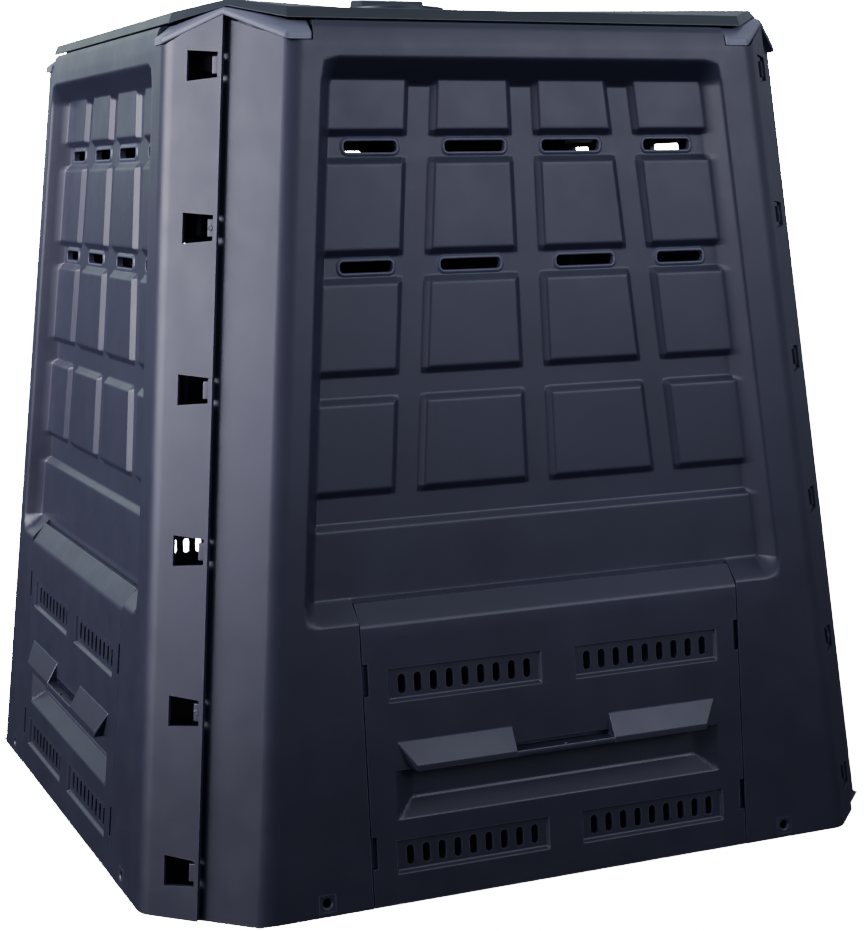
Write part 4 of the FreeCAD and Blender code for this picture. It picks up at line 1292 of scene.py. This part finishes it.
class BIN_OT_caps(Operator):
    """Builds the four corner caps"""

    bl_idname = "bin.caps"
    bl_label = "Corner caps"

    def execute(self, context):
        colours = context.scene.bin_colours
        # The caps' pale colour is painted light on the walls' dark plastic.
        material = plastic("lit_cap_moulding", colours.lit_cap, roughness=0.36)
        shaded_skirt = plastic("cap_shaded_skirt", colours.shaded_skirt, roughness=0.85, gloss=0.1)
        for corner in CORNERS:
            piece = rounded_copy("corner_cap_" + corner, material, 2.2 * MM, segments=4)
            piece.data.materials.append(shaded_skirt)
            # Faces below the seat, seen through the windows, take the near-black skirt colour: painted
            # shade.
            for face in piece.data.polygons:
                if face.center.z < bin_sizes().seat_height - 4 * MM:
                    face.material_index = 1
            settle(piece, "bin", "cap_plastic", "corner_cap_" + corner)
        return {"FINISHED"}


class BIN_OT_lid(Operator):
    """Builds the lid and its vent dial"""

    bl_idname = "bin.lid"
    bl_label = "Lid and dial"

    def execute(self, context):
        material = plastic("lid_moulding", context.scene.bin_colours.lid, roughness=0.38)
        settle(rounded_copy("lid", material, 1.2 * MM, angle=12.0), "lid", "lid_plastic", "lid")
        settle(rounded_copy("vent_dial", material, 0.8 * MM), "dial", "lid_plastic", "vent_dial")
        return {"FINISHED"}


class BIN_OT_fittings(Operator):
    """Builds the hinge brackets and pins and the dial's clip"""

    bl_idname = "bin.fittings"
    bl_label = "Fittings"

    def execute(self, context):
        material = plastic("fitting_moulding", context.scene.bin_colours.fitting)
        for side in ("left", "right"):
            for part in ("hinge_bracket_", "hinge_pin_"):
                piece = rounded_copy(part + side, material, 0.4 * MM, angle=30.0, segments=2)
                settle(piece, "bin", "fitting_plastic", part + side)
        piece = rounded_copy("dial_clip", material, 0.4 * MM, segments=2)
        settle(piece, "dial", "fitting_plastic", "dial_clip")
        return {"FINISHED"}


class BIN_OT_stage(Operator):
    """Builds the studio: floor, world, lights and camera"""

    bl_idname = "bin.stage"
    bl_label = "Stage"

    def execute(self, context):
        add_floor(context.scene.bin_colours.floor, context.scene.bin_colours.shaded_ground)
        add_world()
        for softbox in SOFTBOXES:
            add_light(*softbox)
        add_camera()
        return {"FINISHED"}


# Stage

def add_floor(pale, shaded_ground):
    """A pale floor with its own light, and the ground inside the bin, which that light doesn't reach and
    whose dark colour is painted shade.
    """
    half = bin_sizes().foot_half_width - 1 * MM
    short = half - bin_sizes().corner_cut
    foot = []
    for quarter in range(4):
        turn = Matrix.Rotation(math.radians(90.0 * quarter), 3, "Z")
        foot += [turn @ Vector((half, -short, 0.0)), turn @ Vector((half, short, 0.0))]
    lit = bpy.data.collections.new("Lit by the floor light")
    for name, base in (("floor", pale), ("shaded_ground_inside", shaded_ground)):
        material = bpy.data.materials.new(name)
        material.use_nodes = True
        shader = material.node_tree.nodes["Principled BSDF"]
        shader.inputs["Base Color"].default_value = (*base, 1.0)
        shader.inputs["Roughness"].default_value = 0.9
        mesh = bmesh.new()
        inner = [mesh.verts.new(point) for point in foot]
        if name == "floor":
            outer = [mesh.verts.new(point * FLOOR_REACH) for point in foot]
            for i in range(8):
                j = (i + 1) % 8
                mesh.faces.new([inner[i], outer[i], outer[j], inner[j]])
        else:
            mesh.faces.new(inner)
        data = bpy.data.meshes.new(name)
        mesh.to_mesh(data)
        mesh.free()
        data.materials.append(material)
        floor = bpy.data.objects.new(name, data)
        floor.location.z = -FLOOR_DROP
        floor.visible_diffuse = False
        floor.visible_glossy = False
        bpy.context.scene.collection.objects.link(floor)
        if name == "floor":
            lit.objects.link(floor)
    lamp = bpy.data.lights.new("Floor light", "SUN")
    lamp.energy = FLOOR_LIGHT
    lamp.angle = math.radians(FLOOR_LIGHT_ANGLE)
    light = bpy.data.objects.new("Floor light", lamp)
    light.light_linking.receiver_collection = lit
    bpy.context.scene.collection.objects.link(light)


def add_world():
    """White to the camera; to the object a soft dome, bright above and dark towards the ground."""
    world = bpy.data.worlds.new("studio")
    bpy.context.scene.world = world
    world.use_nodes = True
    nodes = world.node_tree.nodes
    links = world.node_tree.links
    place = nodes.new("ShaderNodeTexCoord")
    split = nodes.new("ShaderNodeSeparateXYZ")
    links.new(place.outputs["Generated"], split.inputs["Vector"])
    dome = nodes.new("ShaderNodeValToRGB")
    dome.color_ramp.elements[0].position = 0.0
    dome.color_ramp.elements[0].color = DOME_LOW
    dome.color_ramp.elements[1].position = 0.42
    dome.color_ramp.elements[1].color = DOME_HIGH
    links.new(ranged(nodes, links, split.outputs["Z"], (-0.25, 1.0), (0.0, 1.0)), dome.inputs["Fac"])
    light = nodes["Background"]
    links.new(dome.outputs["Color"], light.inputs["Color"])
    light.inputs["Strength"].default_value = 1.0
    backdrop = nodes.new("ShaderNodeBackground")
    backdrop.inputs["Color"].default_value = (1.0, 1.0, 1.0, 1.0)
    backdrop.inputs["Strength"].default_value = BACKDROP
    path = nodes.new("ShaderNodeLightPath")
    mix = nodes.new("ShaderNodeMixShader")
    links.new(path.outputs["Is Camera Ray"], mix.inputs["Fac"])
    links.new(light.outputs["Background"], mix.inputs[1])
    links.new(backdrop.outputs["Background"], mix.inputs[2])
    links.new(mix.outputs["Shader"], nodes["World Output"].inputs["Surface"])


def add_light(name, place, target, size, energy, tone):
    """A rectangular softbox that faces its target."""
    data = bpy.data.lights.new(name, "AREA")
    data.shape = "RECTANGLE"
    data.size, data.size_y = size
    data.energy = energy
    data.color = tone
    light = bpy.data.objects.new(name, data)
    light.location = place
    light.rotation_euler = (Vector(target) - Vector(place)).to_track_quat("-Z", "Y").to_euler()
    bpy.context.scene.collection.objects.link(light)


def add_camera():
    """The photograph's camera."""
    data = bpy.data.cameras.new("camera")
    data.lens = CAMERA_LENS
    data.sensor_fit = "HORIZONTAL"
    data.sensor_width = CAMERA_FRAME
    turn = Vector(CAMERA_TURN)
    to_world = Matrix.Rotation(turn.length, 3, turn).transposed()
    right = to_world @ Vector((1, 0, 0))
    ahead = to_world @ Vector((0, 1, 0))
    up = to_world @ Vector((0, 0, 1))
    place = Matrix((right, up, -ahead)).transposed().to_4x4()
    place.translation = Vector(CAMERA_PLACE)
    camera = bpy.data.objects.new("camera", data)
    camera.matrix_world = place
    bpy.context.scene.collection.objects.link(camera)
    bpy.context.scene.camera = camera


# Panel and registration

class BIN_PT_panel(Panel):
    """Lists the bin's pieces in the sidebar"""

    bl_idname = "BIN_PT_panel"
    bl_label = "Compost bin"
    bl_space_type = "VIEW_3D"
    bl_region_type = "UI"
    bl_category = "Compost bin"

    def draw(self, context):
        layout = self.layout
        for operator in OPERATORS:
            layout.operator(operator.bl_idname)
        for name in ("bin_sizes", "joint_sizes", "relief_sizes", "hatch_sizes", "bin_colours"):
            group = getattr(context.scene, name)
            box = layout.box()
            for prop in group.__annotations__:
                box.prop(group, prop)


OPERATORS = (BIN_OT_walls, BIN_OT_hatches, BIN_OT_caps, BIN_OT_lid, BIN_OT_fittings, BIN_OT_stage)
GROUPS = {
    "bin_sizes": BinSizes,
    "joint_sizes": JointSizes,
    "relief_sizes": ReliefSizes,
    "hatch_sizes": HatchSizes,
    "bin_colours": BinColours,
}


def register():
    for group in GROUPS.values():
        bpy.utils.register_class(group)
    for name, group in GROUPS.items():
        setattr(bpy.types.Scene, name, PointerProperty(type=group))
    for operator in OPERATORS:
        bpy.utils.register_class(operator)
    bpy.utils.register_class(BIN_PT_panel)


def unregister():
    bpy.utils.unregister_class(BIN_PT_panel)
    for operator in reversed(OPERATORS):
        bpy.utils.unregister_class(operator)
    for name, group in GROUPS.items():
        delattr(bpy.types.Scene, name)
        bpy.utils.unregister_class(group)


def main():
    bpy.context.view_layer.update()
    register()
    bpy.ops.bin.walls()
    bpy.ops.bin.hatches()
    bpy.ops.bin.caps()
    bpy.ops.bin.lid()
    bpy.ops.bin.fittings()
    bpy.ops.bin.stage()


if __name__ == "__main__":
    main()
